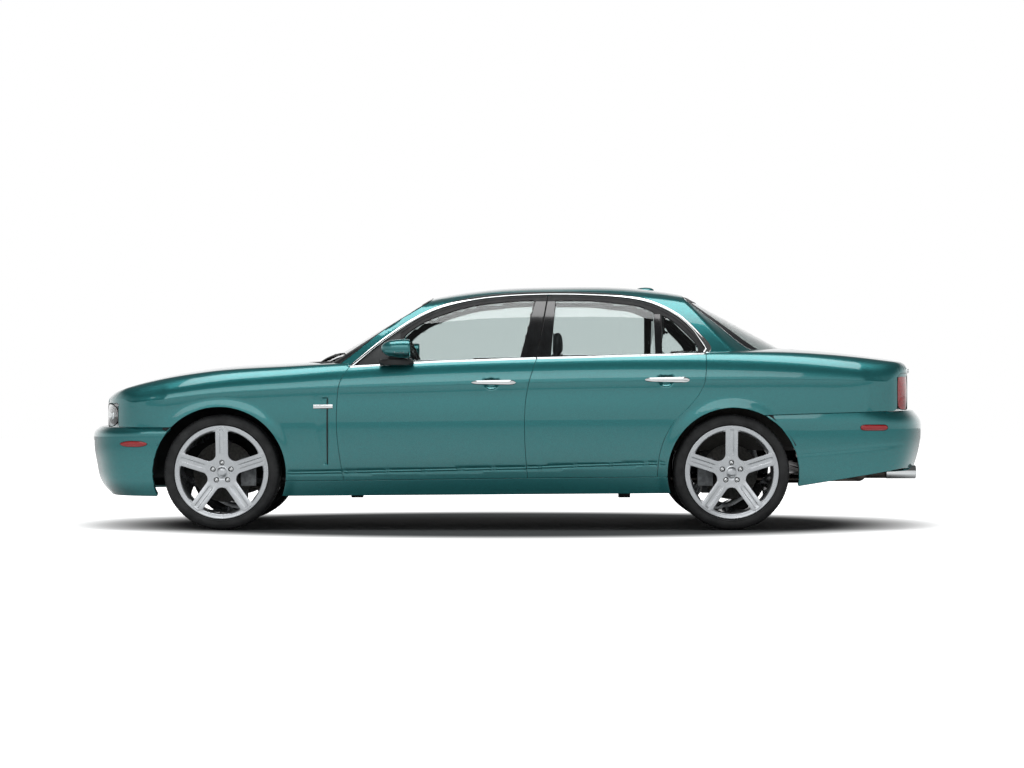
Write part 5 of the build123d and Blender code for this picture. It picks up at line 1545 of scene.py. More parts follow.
def treeMesh(name, tree, sizes, mat):  # runs a tree and keeps the plain mesh it makes
    obj = linked(name, bpy.data.meshes.new(name))
    modifier = obj.modifiers.new("nodes", "NODES")
    modifier.node_group = tree
    sockets = {item.name: item.identifier for item in tree.interface.items_tree if item.in_out == "INPUT"}
    for key, value in {**sizes, "Material": mat}.items():
        modifier[sockets[key]] = value
    bpy.context.view_layer.update()
    applied(obj)
    if not obj.data.materials:
        obj.data.materials.append(mat)
    return obj


def nutTree():  # domed wheel nuts on a circle, drawn in millimetres with their axes along Z
    tree = bpy.data.node_groups.new("wheelNuts", "GeometryNodeTree")
    kinds = {"Geometry": "Geometry", **{key: type(value).__name__.title() for key, value in nutSizes.items()},
        "Material": "Material"}
    for key, kind in kinds.items():
        tree.interface.new_socket(key, in_out="INPUT", socket_type="NodeSocket" + kind)
    tree.interface.new_socket("Geometry", in_out="OUTPUT", socket_type="NodeSocketGeometry")
    given, result = tree.nodes.new("NodeGroupInput").outputs, tree.nodes.new("NodeGroupOutput").inputs

    def node(kind, **inputs):
        return addNode(tree, "GeometryNode" + kind, inputs={key.replace("_", " "): value
            for key, value in inputs.items()}).outputs[0]

    ring = node("MeshCircle", Vertices=given["Count"], Radius=given["Circle Radius"])
    nut = node("MeshCylinder", Vertices=6, Radius=given["Hex Radius"], Depth=given["Hex Height"])
    washer = node("MeshCone", Vertices=20, Radius_Top=11.0, Radius_Bottom=13.0, Depth=3.0)
    dome = node("MeshUVSphere", Segments=16, Rings=8, Radius=8.6)
    lifted = node("Transform", Geometry=dome, Translation=(0, 0, 5.5), Scale=(1, 1, 0.55))
    lowered = node("Transform", Geometry=washer, Translation=(0, 0, -8.0))
    join = addNode(tree, "GeometryNodeJoinGeometry")
    for part in (nut, lifted, lowered):
        tree.links.new(part, join.inputs[0])
    spread = node("InstanceOnPoints", Points=ring, Instance=join.outputs[0])
    real = node("RealizeInstances", Geometry=spread)
    tree.links.new(node("SetMaterial", Geometry=real, Material=given["Material"]), result["Geometry"])
    return tree


nuts = nutTree()


def wheelNuts(end):
    obj = treeMesh(end + "WheelNuts", nuts, nutSizes, chrome)
    spin = Matrix.Rotation(radians(90), 4, "Z")
    tilt = Matrix.Rotation(radians(90), 4, "X")
    spot = Matrix.Translation((hubX[end] * mm, -(hubY + 77) * mm, hubZ * mm))
    obj.data.transform(spot @ tilt @ spin @ Matrix.Scale(mm, 4))
    return sharpen(obj, 30)


hubProfiles = {  # (distance outboard, radius) round the nuts, the plain cap and the tyre valve
    "cup": [(84.6, 17.4), (85.4, 16.4), (84.6, 15.4), (66, 14.8), (66, 0.01), (63, 0.01), (63, 17.4)],
    "cap": [(70, 31.2), (84, 31.2), (86, 30.4), (86.6, 29), (85.6, 27.4), (84.6, 26), (85.4, 24.4), (87.4, 20),
    (88.8, 12), (89.4, 5), (89.5, 0.01), (70, 0.01)],
    "valve": [(82, 5.5), (96, 5.2), (99, 4.0), (110, 4.0), (112, 3.2), (112, 0.01), (82, 0.01)],
}


def hubDetails(end):
    allPoints, allFaces = [], []
    for k in range(wheel["spokes"]):
        turn = radians(90 + 72 * k)
        spot = (wheel["nutCircle"] * cos(turn), wheel["nutCircle"] * sin(turn))
        points, faces = wheelSpin(hubProfiles["cup"], 36, end, spot)
        allFaces += [[i + len(points) * k for i in f] for f in faces]
        allPoints.append(points)
    return [solid(end + "NutCups", np.concatenate(allPoints), allFaces, blackPlastic, 40),
            solid(end + "HubCap", *wheelSpin(hubProfiles["cap"], 64, end), wheelSilver, 35),
            solid(end + "TyreValve", *wheelSpin(hubProfiles["valve"], 20, end, (-7, -238)), blackPlastic, 40)]


for end in ("front", "rear"):
    body = end + "_wheel_{side}"
    bothSides(wheelFace(end), body, [end + "_rim_{side}"])
    bothSides(wheelRim(end), body, [end + "_rim_{side}"])
    bothSides(tyreMesh(end), body, [end + "_tyre_{side}"])
    bothSides(wheelNuts(end), body, ())
    for piece in hubDetails(end):
        bothSides(piece, body)
print("wheels made")


# lamps, markers and bright trim

def bodyPoint(line, inset=0.0):
    points = lowerPoint(fromSide(line))
    points[:, 1] += inset
    return points


def bumperPoint(shape):
    def surface(line, inset=0.0):
        out = []
        for x, z in np.asarray(line, float):
            plan = bumperPlan(shape, z)
            plan = plan[plan[:, 1] < 0]
            plan = plan[np.argsort(plan[:, 0])]
            out.append((x, float(np.interp(x, plan[:, 0], plan[:, 1])) + inset, z))
        return np.array(out)
    return surface


lampShape = {
    "head": {"inner": 354.0, "outer": 2328.0, "z": (614.0, 750.0), "round": 3.2},
    "tail": {"inner": 646.0, "outer": 2327.0, "z": (717.0, 935.0), "round": 5.0},
}


def lampGrid(kind, back=0.0, shrink=0.0, bulge=6.0):  # a lamp's face on the nose or tail plan curve
    shape = lampShape[kind]
    plan = nosePlan if kind == "head" else tailPlan
    keep = (np.abs(plan[:, 0]) > shape["outer"]) & (plan[:, 1] > shape["inner"])
    outerX = np.sign(plan[0, 0]) * shape["outer"]
    ends = [(outerX, float(planHalf(np.array([outerX]))[0])),
            (float(np.interp(-shape["inner"], -plan[:, 1], plan[:, 0])), shape["inner"])]
    line = np.array([ends[0]] + [tuple(p) for p in plan[keep]] + [ends[1]])
    run = runOf(line)[-1]
    at = run * (0.5 - 0.5 * np.cos(np.linspace(0, np.pi, 40)))
    line = evenly(line, at)
    out = inward(line, 1.0) - line
    if np.sum(out[:, 0] * line[:, 0]) < 0:
        out = -out
    share = 2 * at / run - 1
    low, high = shape["z"]
    half = (high - low) / 2 - shrink
    reach = np.clip(1 - np.abs(share * (1 + shrink / run)) ** shape["round"], 0.004, 1) ** (1 / shape["round"])
    rows = []
    for v in np.sin(np.linspace(-np.pi / 2, np.pi / 2, 17)):
        lift = bulge * (1 - v * v) * (1 - share**2) - 4.0 - back
        spot = line + out * lift[:, None]
        rows.append(columns(spot[:, 0], -spot[:, 1], (low + high) / 2 + half * v * reach))
    return np.array(rows)


def shellAway(name, rows, mats, depth, inside, edge=1.0):
    points, faces = facingOut(*gridPatch(rows), inside)
    return shell(name, points, faces, mats, depth, edge=edge, outward=None)


def rimLine(rows):
    return np.concatenate([rows[0], rows[1:, -1], rows[-1, -2::-1], rows[-2:0:-1, 0]])


def lampBezel(name, rows, inside, mat, width=5.0):
    line = rimLine(rows)
    middle = rows.reshape(-1, 3).mean(axis=0)
    keep = np.concatenate([[True], norm(np.diff(line, axis=0), axis=1) > 0.8])
    line = line[keep]
    way = middle - np.array(inside, float)
    normals = np.tile(way / norm(way), (len(line), 1))
    points, faces = sweepMesh(line, normals, roundBar(width, 4.0, 1.2, 2), closed=True)
    return solid(name, points, faces, mat)


def bowl(name, spot, radius, depth, mat):
    profile = [(0.0, radius), (-1.5, radius - 1), (depth * 0.35, radius * 0.86), (depth * 0.7, radius * 0.6),
        (depth * 0.93, radius * 0.3), (depth, 0.01), (depth + 3, 0.01), (depth * 0.4, radius + 1), (3.0, radius + 1)]
    points, faces = spinMesh(profile, 40)
    turned = columns(points[:, 1], points[:, 0], points[:, 2]) + np.array(spot)
    return solid(name, turned, faces, mat, 40)


insideFront, insideRear = (-1900.0, -300.0, 680.0), (1900.0, -300.0, 820.0)
headFront, headBack = lampGrid("head"), lampGrid("head", back=34.0, shrink=3.0, bulge=0.0)
pieces = [
    (shellAway("headlampLens", headFront, [clearLens], 3.0, insideFront), ["headlamps"]),
    (shellAway("headlampHousing", headBack, [wheelSilver], 4.0, insideFront), []),
    (lampBezel("headlampBezel", headFront, insideFront, seal), []),
]
for label, y, radius in (("headlampMainBowl", -640, 56), ("headlampInnerBowl", -474, 50)):
    x = float(np.interp(y, -nosePlan[:, 1], nosePlan[:, 0])) + 16
    pieces.append((bowl(label, (x, y, 682), radius, 34.0, chrome), []))
tailFront, tailBack = lampGrid("tail"), lampGrid("tail", back=26.0, shrink=3.0, bulge=0.0)
pieces += [
    (shellAway("tailLampLens", tailFront, [redLens], 3.0, insideRear), ["tail_lamps"]),
    (shellAway("tailLampHousing", tailBack, [wheelSilver], 4.0, insideRear), []),
    (lampBezel("tailLampBezel", tailFront, insideRear, seal, 4.0), []),
]
for piece, nodes in pieces:
    bothSides(piece, "body", nodes)
print("lamps made")


def oblong(x0, x1, height, power):  # widths along a lens with rounded or pointed ends
    t = 1 - np.cos(np.linspace(0, np.pi, 34))
    share = np.abs(t - 1)
    return x0 + (x1 - x0) * t / 2, height * np.clip(1 - share**power, 0.02, 1) ** 0.6


markerShape = {"front": (-2304.0, -2142.0, 513.0, 31.0, 3.0), "rear": (2099.0, 2260.0, 611.0, 31.0, 9.0)}
for end, shape in (("front", frontBumper), ("rear", rearBumper)):
    x0, x1, z, height, power = markerShape[end]
    for name, grown, crown, lift, mat in (("SideMarker", 0, 4.0, 0.5, redLens),
                                          ("MarkerSurround", 1, 1.2, 0.2, blackPlastic)):
        xs, widths = oblong(x0 - 4 * grown, x1 + 4 * grown, height + 7 * grown, power)
        centre = columns(xs, z)
        bothSides(strip(end + name, bumperPoint(shape), centre, widths, crown, lift, mat), "body")

ventShape = {"slit": [(-1071, 786), (-1071, 700), (-1071, 500), (-1071, 396)], "slitWidth": 8.0,
    "bar": ((-1152, 735), (-1038, 737)), "barWidth": 25.0, "stand": 2.0}
# painted shade: the slit is a black strip laid on the deep rear edge of the vent's recess, standing for the shade
# there; it narrows towards both ends
slit = curveThrough(ventShape["slit"], 12)
taper = 0.25 + 0.75 * np.sin(np.linspace(0.12, np.pi - 0.12, len(slit))) ** 0.4
bothSides(strip("ventSlitPaintedShade", bodyPoint, slit, ventShape["slitWidth"] * taper, 0.8, 1.0, blackPlastic), "body")
bar = straightLine([ventShape["bar"][0], ventShape["bar"][1]], 5.0)


def ventSurface(line, inset=0.0):  # the wing's side as if the vent weren't there
    far = np.asarray(line, float).copy()
    inside = (far[:, 0] > -1160) & (far[:, 0] < -1060)
    points = bodyPoint(far, inset)
    ends = bodyPoint(np.array([[-1162.0, 735.0], [-1058.0, 737.0]]), inset)[:, 1]
    points[inside, 1] = np.interp(far[inside, 0], [-1162, -1058], ends)
    return points


bothSides(strip("ventBar", ventSurface, bar, ventShape["barWidth"], 5.0, ventShape["stand"], chrome, 12.0), "body")


handleShape = {"front": (-214.0, 49.0, 862.0, 896.0), "rear": (816.0, 1081.0, 876.0, 914.0), "y": 940.5, "thick": 6.5}


def oval(turn, a, b, power):  # across and up round a squared oval
    c, s = np.cos(turn), np.sin(turn)
    return a * np.sign(c) * np.abs(c) ** power, b * np.sign(s) * np.abs(s) ** power


def doorHandle(end):
    x0, x1, z0, z1 = handleShape[end]
    t = np.linspace(-1, 1, 41)
    x = (x0 + x1) / 2 + (x1 - x0) / 2 * np.sin(t * np.pi / 2)
    share = np.sin(t * np.pi / 2)
    skin = -bodyPoint(columns(x, (z0 + z1) / 2))[:, 1]
    ends = smoothStep((np.abs(share) - 0.72) / 0.28)
    middle = handleShape["y"] * (1 - ends) + (skin - 1.0) * ends
    high = (z1 - z0) / 2 * (0.80 + 0.14 * share) * np.clip(1 - np.abs(share) ** 9, 0.02, 1) ** 0.5
    rows = []
    for a in np.linspace(0, 2 * np.pi, 24, endpoint=False):
        out, up = oval(a, handleShape["thick"], 1, 0.8)[0], oval(a, 1, high, 0.75)[1]
        rows.append(columns(x, -(middle + out), (z0 + z1) / 2 + up))
    return closedRows(end + "DoorHandle", np.stack(rows, axis=1), chrome, 50)


for end in ("front", "rear"):
    bothSides(doorHandle(end), end + "_door_{side}")

mirrorShape = {
    "centre": (-977.5, 1080.0),
    "rows": [(-748, 3, 3), (-744, 20, 15), (-730, 41, 31), (-706, 58, 44), (-670, 68, 52), (-630, 71.4, 55.6),
    (-596, 71.8, 56), (-584, 70.6, 55), (-578, 67.6, 52.6)],
    "foot": (-660.0, -902.0, 1001.0), "footHalf": (104.0, 58.0, 20.0),
    "footRows": [(-1, 0.8), (-0.8, 0.93), (-0.3, 1.0), (0.3, 0.99), (0.7, 0.9), (1.0, 0.62), (1.7, 0.4), (2.4, 0.4)],
}


def ovalRows(rows, centre):
    turn = np.linspace(0, 2 * np.pi, 48, endpoint=False)
    out = []
    for x, a, b in rows:
        across, up = oval(turn, a, b, 0.8)
        out.append(columns(x, centre[0] + across, centre[1] + up))
    return np.array(out)


def doorMirror():
    fine = rowSpline(mirrorShape["rows"])
    middle = mirrorShape["centre"]
    xs = np.concatenate([[-748, -747.4, -746, -744, -740], np.linspace(-735, -584, 30), [-581, -578]])
    rows = [(x, *fine(np.array([x]))[0]) for x in xs] + [(-579.5, 64, 49), (-590, 62.5, 47.5)]
    cover = closedRows("mirrorShell", ovalRows(rows, middle), paint)
    mirror = closedRows("mirrorGlass", ovalRows([(-592, 62, 47), (-586, 62, 47), (-585, 61, 46)], middle), chrome)
    turn = np.radians(np.linspace(183, 258, 22))
    lensRows = []
    for x in np.linspace(-676, -580, 18):
        across, up = oval(turn, *(fine(np.array([x]))[0] + 1.6), 0.8)
        lensRows.append(columns(x, middle[0] + across, middle[1] + up))
    kept = [row[row[:, 2] < 1062] for row in lensRows]
    count = min(map(len, kept))
    lens = shellAway("mirrorLens", np.array([k[-count:] for k in kept]), [clearLens], 2.5, (-630, -960, 1080))
    cx, cy, cz = mirrorShape["foot"]
    a, b, c = mirrorShape["footHalf"]
    foot, turn = [], np.linspace(0, 2 * np.pi, 40, endpoint=False)
    for z, share in mirrorShape["footRows"]:
        slide = 0 if z < 1 else -18 * (z - 1)
        x, y = cx + a * share * np.cos(turn), cy + slide + b * min(share * 1.1, 1) * np.sin(turn)
        foot.append(columns(x, y, cz + c * z))
    return cover, mirror, lens, closedRows("mirrorFoot", foot, blackPlastic, 50)


for number, piece in enumerate(doorMirror()):
    bothSides(piece, "front_door_{side}", ["mirror_{side}"] if number in (0, 3) else ())
print("handles and mirrors made")


# screens, cowl, roof pod and plate

def gridShell(name, rows, mats, depth, outward, edge=1.0):
    points, faces = gridPatch(np.asarray(rows))
    return shell(name, points, faces, mats, depth, edge=edge, outward=outward)


screenTrim = {"band": 7, "top": 3, "proud": 1.2, "bright": 7.0}
for label, rows, lean in (("windscreen", windscreenRows, 1), ("backlight", backlightRows, -1)):
    rows = rows + np.array([lean * 4.0, 0, -3.0]) + np.array([-lean, 0, 0.8]) * screenTrim["proud"]
    band, top = screenTrim["band"], screenTrim["top"]
    outward = (-lean, 0, 1)
    for part, grid in (("Left", rows[:, :band]), ("Right", rows[:, -band:]), ("Top", rows[-top:, band - 1:1 - band]),
                       ("Foot", rows[:top, band - 1:1 - band])):
        place(gridShell(label + "Border" + part, grid, [border], 2.0, outward))
    for part, edge in (("Left", rows[:, 0]), ("Right", rows[:, -1])):
        side = -1.0 if part == "Left" else 1.0
        normals = np.tile(np.array([-lean * 0.5, side * 0.6, 0.6]), (len(edge), 1))
        bar = roundBar(screenTrim["bright"], 3.0, 1.2, 2)
        points, faces = sweepMesh(edge + np.array([-lean, 0, 1.0]), normals, bar)
        place(solid(label + "Moulding" + part, points, faces, seal if lean > 0 else chrome))


def cowlPanel():
    ys = np.linspace(-786, 786, 61)
    tail = curveThrough(bonnetShape["tail"], 15)
    front = np.interp(np.abs(ys), tail[:, 1], tail[:, 0]) + 5
    back = screenX("windscreen", ys, np.full_like(ys, 982.0)) + 6
    back = np.maximum(back, front + 20)
    rows = []
    for t in (0, 0.08, 0.25, 0.5, 0.75, 0.92, 1):
        x = front + (back - front) * t
        base = deckHeight(front, np.abs(ys)) - 16
        z = base + (985 - base) * t - 10 * sin(pi * t)
        rows.append(columns(x, ys, z))
    return gridShell("cowlPanel", rows, [trim], 4.0, (0, 0, 1))


place(cowlPanel())


def wiper(name, pivotY, tipY):
    ys = np.linspace(pivotY, tipY, 40)
    t = np.linspace(0, 1, 40)
    z = 990 + 62 * np.sin(t * 1.2)
    x = screenX("windscreen", ys, z) - 9 - 10 * np.sin(np.pi * t)
    line = columns(x, ys, z)
    normals = np.tile([-0.8, 0, 0.6], (40, 1))
    points, faces = sweepMesh(line, normals, roundBar(13, 9, 3, 3))
    arm = solid(name + "Arm", points, faces, blackPlastic)
    ys = np.linspace(tipY - (tipY - pivotY) * 0.85, tipY + (tipY - pivotY) * 0.18, 60)
    z = np.interp(ys, np.sort(line[:, 1]), line[np.argsort(line[:, 1]), 2]) + 2
    x = screenX("windscreen", ys, z) - 3
    points, faces = sweepMesh(columns(x, ys, z), np.tile([-0.8, 0, 0.6], (60, 1)), roundBar(7, 9, 2, 2))
    return arm, solid(name + "Blade", points, faces, seal)


for name, pivot, tip in (("driverWiper", -150, -640), ("passengerWiper", 420, -40)):
    for piece in wiper(name, pivot, tip):
        place(piece)


def scuttlePanel():  # painted panel between the rear screen and the boot lid
    ys = np.linspace(-559, 559, 49)
    front = screenX("backlight", ys, np.full_like(ys, 1062.0)) - 14
    rows = []
    for t in np.concatenate([[0, 0.03], np.linspace(0.1, 0.97, 12), [1]]):
        x = front + (1750 - front) * t
        rows.append(columns(x, ys, deckHeight(x, np.abs(ys))))
    return gridShell("rearScuttle", rows, [paint, underside], 12.0, (0, 0, 1))


place(scuttlePanel(), "body", ())

podShape = {"x": (777.0, 908.0), "half": 34.0, "rise": 17.0}


def aerialPod():
    x0, x1 = podShape["x"]
    top = min(float(roofHeight(np.array([840.0]), np.array([0.0]))[0]) + podShape["rise"], boxOf("roof")[1][2] - 0.2)
    rows = []
    for share in (0, 0.04, 0.12, 0.25, 0.42, 0.6, 0.78, 0.9, 1):
        t = np.linspace(0, 2 * np.pi, 40, endpoint=False)
        spread = sqrt(max(1 - share**2, 0.0004))
        x = (x0 + x1) / 2 + (x1 - x0) / 2 * spread * np.cos(t) + 16 * share
        y = podShape["half"] * spread * np.sin(t)
        base = float(roofHeight(np.array([840.0]), np.array([0.0]))[0]) - 8
        rows.append(columns(x, y, base + (top - base) * share))
    return closedRows("aerialPod", np.array(rows), paint, 60)


place(aerialPod())


def roundedBox(name, low, high, radius, mat, segments=3):
    bm = bmesh.new()
    bmesh.ops.create_cube(bm, size=1.0)
    low, high = np.asarray(low, float), np.asarray(high, float)
    for v in bm.verts:
        v.co = Vector(((low + high) / 2 + (high - low) * np.array(v.co[:])) * mm)
    bmesh.ops.bevel(bm, geom=list(bm.edges), offset=radius * mm, segments=segments, profile=0.5, affect="EDGES")
    data = bpy.data.meshes.new(name)
    bm.to_mesh(data)
    bm.free()
    data.materials.append(mat)
    data.polygons.foreach_set("use_smooth", [True] * len(data.polygons))
    return sharpen(linked(name, data), 40)


plateX = float(tailPlan[-1, 0])
place(roundedBox("numberPlate", (plateX + 1, -156, 776), (plateX + 5, 156, 924), 1.4, palePlastic), "boot_lid")
place(roundedBox("plateBar", (plateX - 2, -330, 936), (plateX + 16, 330, 962), 5.0, chrome), "boot_lid")


# wheelhouses and the plain structure

def wheelLiner(end):
    cx, cz, _ = arches[end]
    reach = {"front": 430.0, "rear": 422.0}[end]
    profile = [(-912, 403), (-904, reach - 4), (-892, reach), (-620, reach), (-600, reach), (-600, reach + 3),
        (-892, reach + 3), (-908, reach + 1), (-915, 403)]
    rows = []
    for a in np.radians(np.linspace(24, 156, 60)):
        rows.append([(cx + r * cos(a), y, cz + r * sin(a)) for y, r in profile])
    return closedRows(end + "WheelLiner", rows, underside)


for end in ("front", "rear"):
    bothSides(wheelLiner(end), "body")

dressed = {  # the finish and the body of the pieces shown in their own shapes
    "boot_tub": (pile, "body"), "bulkhead": (underside, "body"), "engine": (alloy, "body"),
    "engine_bay": (underside, "body"), "exhaust": (steel, "body"), "floor_pan": (underside, "body"),
    "front_suspension": (alloy, "body"), "rear_suspension": (alloy, "body"), "grille": (chrome, "body"),
    "pillars": (trim, "body"), "steering_wheel": (darkHide, "steering_wheel"),
}
for node, rider, mat in (("front_knuckle", "front_knuckle", alloy), ("front_brake_disc", "front_wheel", iron),
                         ("rear_brake_disc", "rear_wheel", iron)):
    for side in ("left", "right"):
        dressed[f"{node}_{side}"] = (mat, f"{rider}_{side}")
for side, label in ((-1, "Left"), (1, "Right")):  # bright tail pipes over the plain ones
    profile = [
        (2284, 39.6), (2288, 40.4), (2458, 40.4), (2461, 39.6), (2461, 36.5), (2440, 35), (2330, 35), (2330, 38.3),
        (2284, 38.3)]
    points, faces = spinMesh(profile, 48)
    turned = columns(points[:, 1], points[:, 0] + side * 600.0, points[:, 2] + 340.0)
    place(solid("tailPipe" + label, turned, faces, chrome, 40))

for node, (mat, body) in dressed.items():
    place(mergedCopy(node, node.title().replace("_", "") + "Finish", mat), body, [node])
print("plain structure dressed")


# cabin

def softDash():
    obj = mergedCopy("dashboard", "dashTop", trim)
    bevel = obj.modifiers.new("edges", "BEVEL")
    bevel.width, bevel.segments, bevel.limit_method, bevel.angle_limit = 0.016, 3, "ANGLE", radians(30)
    return applied(obj)


place(softDash(), "body", ["dashboard"])
fittings = {  # two corners, edge radius, finish, steps round the edge
    "instrumentHood": ((-800, -500, 945), (-640, -240, 1008), 22, trim, 4),
    "walnutStrip": ((-692, -690, 838), (-682, 690, 892), 3, walnut, 3),
    "centreConsole": ((-700, -105, 262), (30, 105, 600), 24, trim, 4),
    "consoleTop": ((-640, -88, 598), (20, 88, 604), 2, walnut, 3),
    "gearSelector": ((-430, -24, 600), (-380, 24, 672), 14, darkHide, 4),
    "dashScreen": ((-690, -92, 700), (-676, 92, 826), 3, blackPlastic, 3),
}
for name, sizes in fittings.items():
    place(roundedBox(name, *sizes))
for label, (x0, x1) in (("front", (-640, 60)), ("rear", (330, 860))):
    rest = roundedBox(label + "Armrest", (x0, -838, 690), (x1, -772, 742), 20, leather, 4)
    for pad in bothSides(rest, label + "_door_{side}"):
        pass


def smoothMesh(points, edges, rounds, amount=0.5):
    count = np.bincount(edges.ravel(), minlength=len(points))[:, None]
    for _ in range(rounds):
        total = np.zeros_like(points)
        np.add.at(total, edges[:, 0], points[edges[:, 1]])
        np.add.at(total, edges[:, 1], points[edges[:, 0]])
        points = points + amount * (total / np.maximum(count, 1) - points)
    return points


padShape = {"voxel": 0.013, "shrink": 0.008, "cap": 0.016, "pressure": 4.0, "frames": 20, "rounds": 6}


def readRows(data, what="co"):
    flat = np.zeros(len(data.vertices) * 3)
    data.vertices.foreach_get(what, flat)
    return flat.reshape(-1, 3)


def moveTo(data, points):
    data.vertices.foreach_set("co", points.ravel())
    data.update()


def swollen(source, start):  # the cushion blown up by pressure, no further than the cap
    cloth = source.modifiers.new("pad", "CLOTH")
    cloth.settings.use_pressure = True
    cloth.settings.uniform_pressure_force = padShape["pressure"]
    cloth.settings.effector_weights.gravity = 0.0
    cloth.point_cache.frame_end = padShape["frames"]
    scene = bpy.context.scene
    for k in range(1, padShape["frames"] + 1):
        scene.frame_set(k)
    step = readRows(source.evaluated_get(bpy.context.evaluated_depsgraph_get()).to_mesh()) - start
    source.modifiers.clear()
    scene.frame_set(1)
    size = norm(step, axis=1)[:, None]
    return start + step * np.minimum(1, padShape["cap"] / np.maximum(size, 1e-9))


def paddedSeat(node, name, channels):
    source = mergedCopy(node, name, leather)
    remesh = source.modifiers.new("skin", "REMESH")
    remesh.mode, remesh.voxel_size = "VOXEL", padShape["voxel"]
    data = applied(source).data
    edges = np.zeros(len(data.edges) * 2, int)
    data.edges.foreach_get("vertices", edges)
    points = smoothMesh(readRows(data), edges.reshape(-1, 2), padShape["rounds"])
    moveTo(data, points)
    start = points - readRows(data, "normal") * padShape["shrink"]
    moveTo(data, start)
    moveTo(data, swollen(source, start))
    finer = source.modifiers.new("finer", "SUBSURF")
    finer.levels = finer.render_levels = 1
    data = applied(source).data
    points = readRows(data) / mm
    moveTo(data, (points - readRows(data, "normal") * channels(points)[:, None]) * mm)
    data.polygons.foreach_set("use_smooth", [True] * len(data.polygons))
    return source


def groove(distance, width=9.0, deep=7.0):
    return deep * np.exp(-((distance / width) ** 2))


def frontChannels(points):  # stitched panels of a front seat
    x, y, z = points.T
    across = np.abs(y) - 380
    out = np.maximum(groove(np.abs(across) - 165, 8.0), 0) * (z < 1030) * (x < 260)
    cushion = (z > 500) & (x < 120) & (np.abs(across) < 165)
    out += groove((x + 250 + 45) % 90 - 45, 8.0, 5.0) * cushion
    back = (z > 620) & (z < 1000) & (np.abs(across) < 165) & (x < 250)
    out += groove((z + 45) % 90 - 45, 8.0, 5.0) * back
    return out


def rearChannels(points):
    x, y, z = points.T
    out = groove(np.abs(y) - 130, 8.0) * (z > 500) + groove(np.abs(np.abs(y) - 330) - 150, 8.0, 5.0) * (z > 520) * 0.7
    cushion = (z < 640) & (x < 1070) & (z > 520)
    return out + groove((x + 45) % 90 - 45, 8.0, 5.0) * cushion


place(paddedSeat("front_seats", "frontSeatPads", frontChannels), "body", ["front_seats"])
place(paddedSeat("rear_seat", "rearSeatPad", rearChannels), "body", ["rear_seat"])
for side, label in ((-330, "Left"), (330, "Right")):
    headrest = roundedBox("rearHeadrest" + label, (1205, side - 125, 1030), (1285, side + 125, 1130), 30, leather, 5)
    place(headrest)
print("cabin made")


# stage, light and camera

# the floor is white with a painted shadow in an oval round the car: mat is the dark colour of that painted shadow,
# clear gives the scaled distances over which it fades to the floor colour, and reach gives the oval's size in metres
stageLook = {
    "size": 60000.0, "sky": 1.0, "fill": 0.45, "ceiling": 0.10, "ceilingFrom": (0.10, 0.55),
    "clear": (0.72, 1.14), "reach": (2.75, 2.1), "mat": "#3E4041", "floor": "#F2F3F3",
}


def floorMaterial():
    mat = makeFinish("studioFloorPaintedShadow", {
        "Roughness": 0.9, "Specular IOR Level": 0.1, "Emission Color": (1, 1, 1, 1)})
    tree = mat.node_tree
    shader = tree.nodes["Principled BSDF"]
    spot = addNode(tree, "TexCoord").outputs["Object"]
    along, across = stageLook["reach"]
    near = addNode(tree, "VectorMath", {"operation": "MULTIPLY"}, {0: spot, 1: (1 / along, 1 / across, 0)})
    away = addNode(tree, "VectorMath", {"operation": "LENGTH"}, {0: near.outputs["Vector"]})
    low, high = stageLook["clear"]
    # painted shadow: lift is 0 in the oval round the car and rises to 1 outside it, so the floor is dark near the car
    # and white beyond, where it also glows white for the camera
    lift = addNode(tree, "MapRange", {"interpolation_type": "SMOOTHSTEP"}, {
        "Value": away.outputs["Value"], "From Min": low, "From Max": high, "To Max": 1.0})
    tone = tinted(tree, lift.outputs["Result"], (stageLook["mat"], stageLook["floor"]), (0.0, 1.0))
    tree.links.new(tone, shader.inputs["Base Color"])
    path = addNode(tree, "LightPath").outputs
    glow = addNode(tree, "Math", {"operation": "MULTIPLY"}, {0: path["Is Camera Ray"], 1: lift.outputs["Result"]})
    tree.links.new(glow.outputs[0], shader.inputs["Emission Strength"])
    return mat


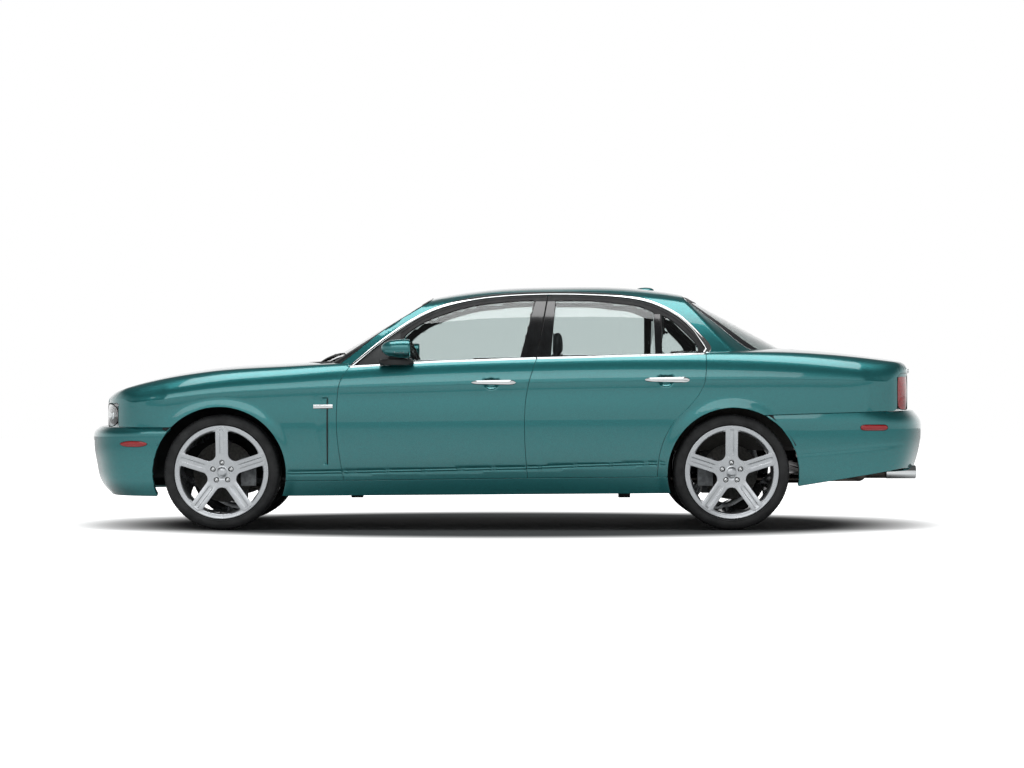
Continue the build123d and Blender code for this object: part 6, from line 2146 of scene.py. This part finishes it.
def makeStage():
    half = stageLook["size"] / 2
    corners = [(-half, -half, 0), (half, -half, 0), (half, half, 0), (-half, half, 0)]
    makeObject("studioFloor", corners, [[0, 1, 2, 3]], floorMaterial(), smooth=False)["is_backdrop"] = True
    world = bpy.context.scene.world = bpy.data.worlds.new("studioWorld")
    world.use_nodes = True
    tree = world.node_tree
    background = tree.nodes["Background"]
    path = addNode(tree, "LightPath").outputs
    way = addNode(tree, "SeparateXYZ", inputs={"Vector": addNode(tree, "TexCoord").outputs["Generated"]})
    low, high = stageLook["ceilingFrom"]

    def between(value, first, second, settings=None, **reach):
        inputs = {"Value": value, "To Min": first, "To Max": second, **reach}
        return addNode(tree, "MapRange", settings, inputs).outputs[0]

    ceiling = between(way.outputs["Z"], stageLook["sky"], stageLook["ceiling"], {"interpolation_type": "SMOOTHSTEP"},
        **{"From Min": low, "From Max": high})
    rays = {0: path["Is Glossy Ray"], 1: path["Is Transmission Ray"]}
    mirrored = addNode(tree, "Math", {"operation": "MAXIMUM"}, rays)
    room = between(mirrored.outputs[0], stageLook["fill"], ceiling)
    tree.links.new(between(path["Is Camera Ray"], room, stageLook["sky"]), background.inputs["Strength"])
    background.inputs["Color"].default_value = (1, 1, 1, 1)


def makeLamp(name, spot, aim, size, watts):
    data = bpy.data.lights.new(name, "AREA")
    data.shape, data.size, data.size_y, data.energy = "RECTANGLE", size[0], size[1], watts
    lamp = linked(name, data)
    lamp.location = spot
    lamp.rotation_euler = (Vector(aim) - Vector(spot)).to_track_quat("-Z", "Y").to_euler()


def makeCamera():
    data = bpy.data.cameras.new("sideCamera")
    data.lens = camera["lens"]
    obj = linked("sideCamera", data)
    obj.location = (camera["x"] * mm, -camera["distance"] * mm, camera["height"] * mm)
    obj.rotation_euler = (radians(90), 0, 0)
    bpy.context.scene.camera = obj


makeStage()
makeLamp("overheadSoftbox", (0, -1.5, 6.5), (0, 0, 0.6), (7.0, 4.0), 400)
makeLamp("sideSoftbox", (-1.0, -9.0, 4.2), (0, 0, 0.7), (8.0, 2.5), 130)
makeCamera()
bpy.context.scene.view_settings.view_transform = "Standard"
print("stage set")

sizes = {"cad": [list(corner) for corner in cadBox], "visual": [list(corner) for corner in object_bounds()]}
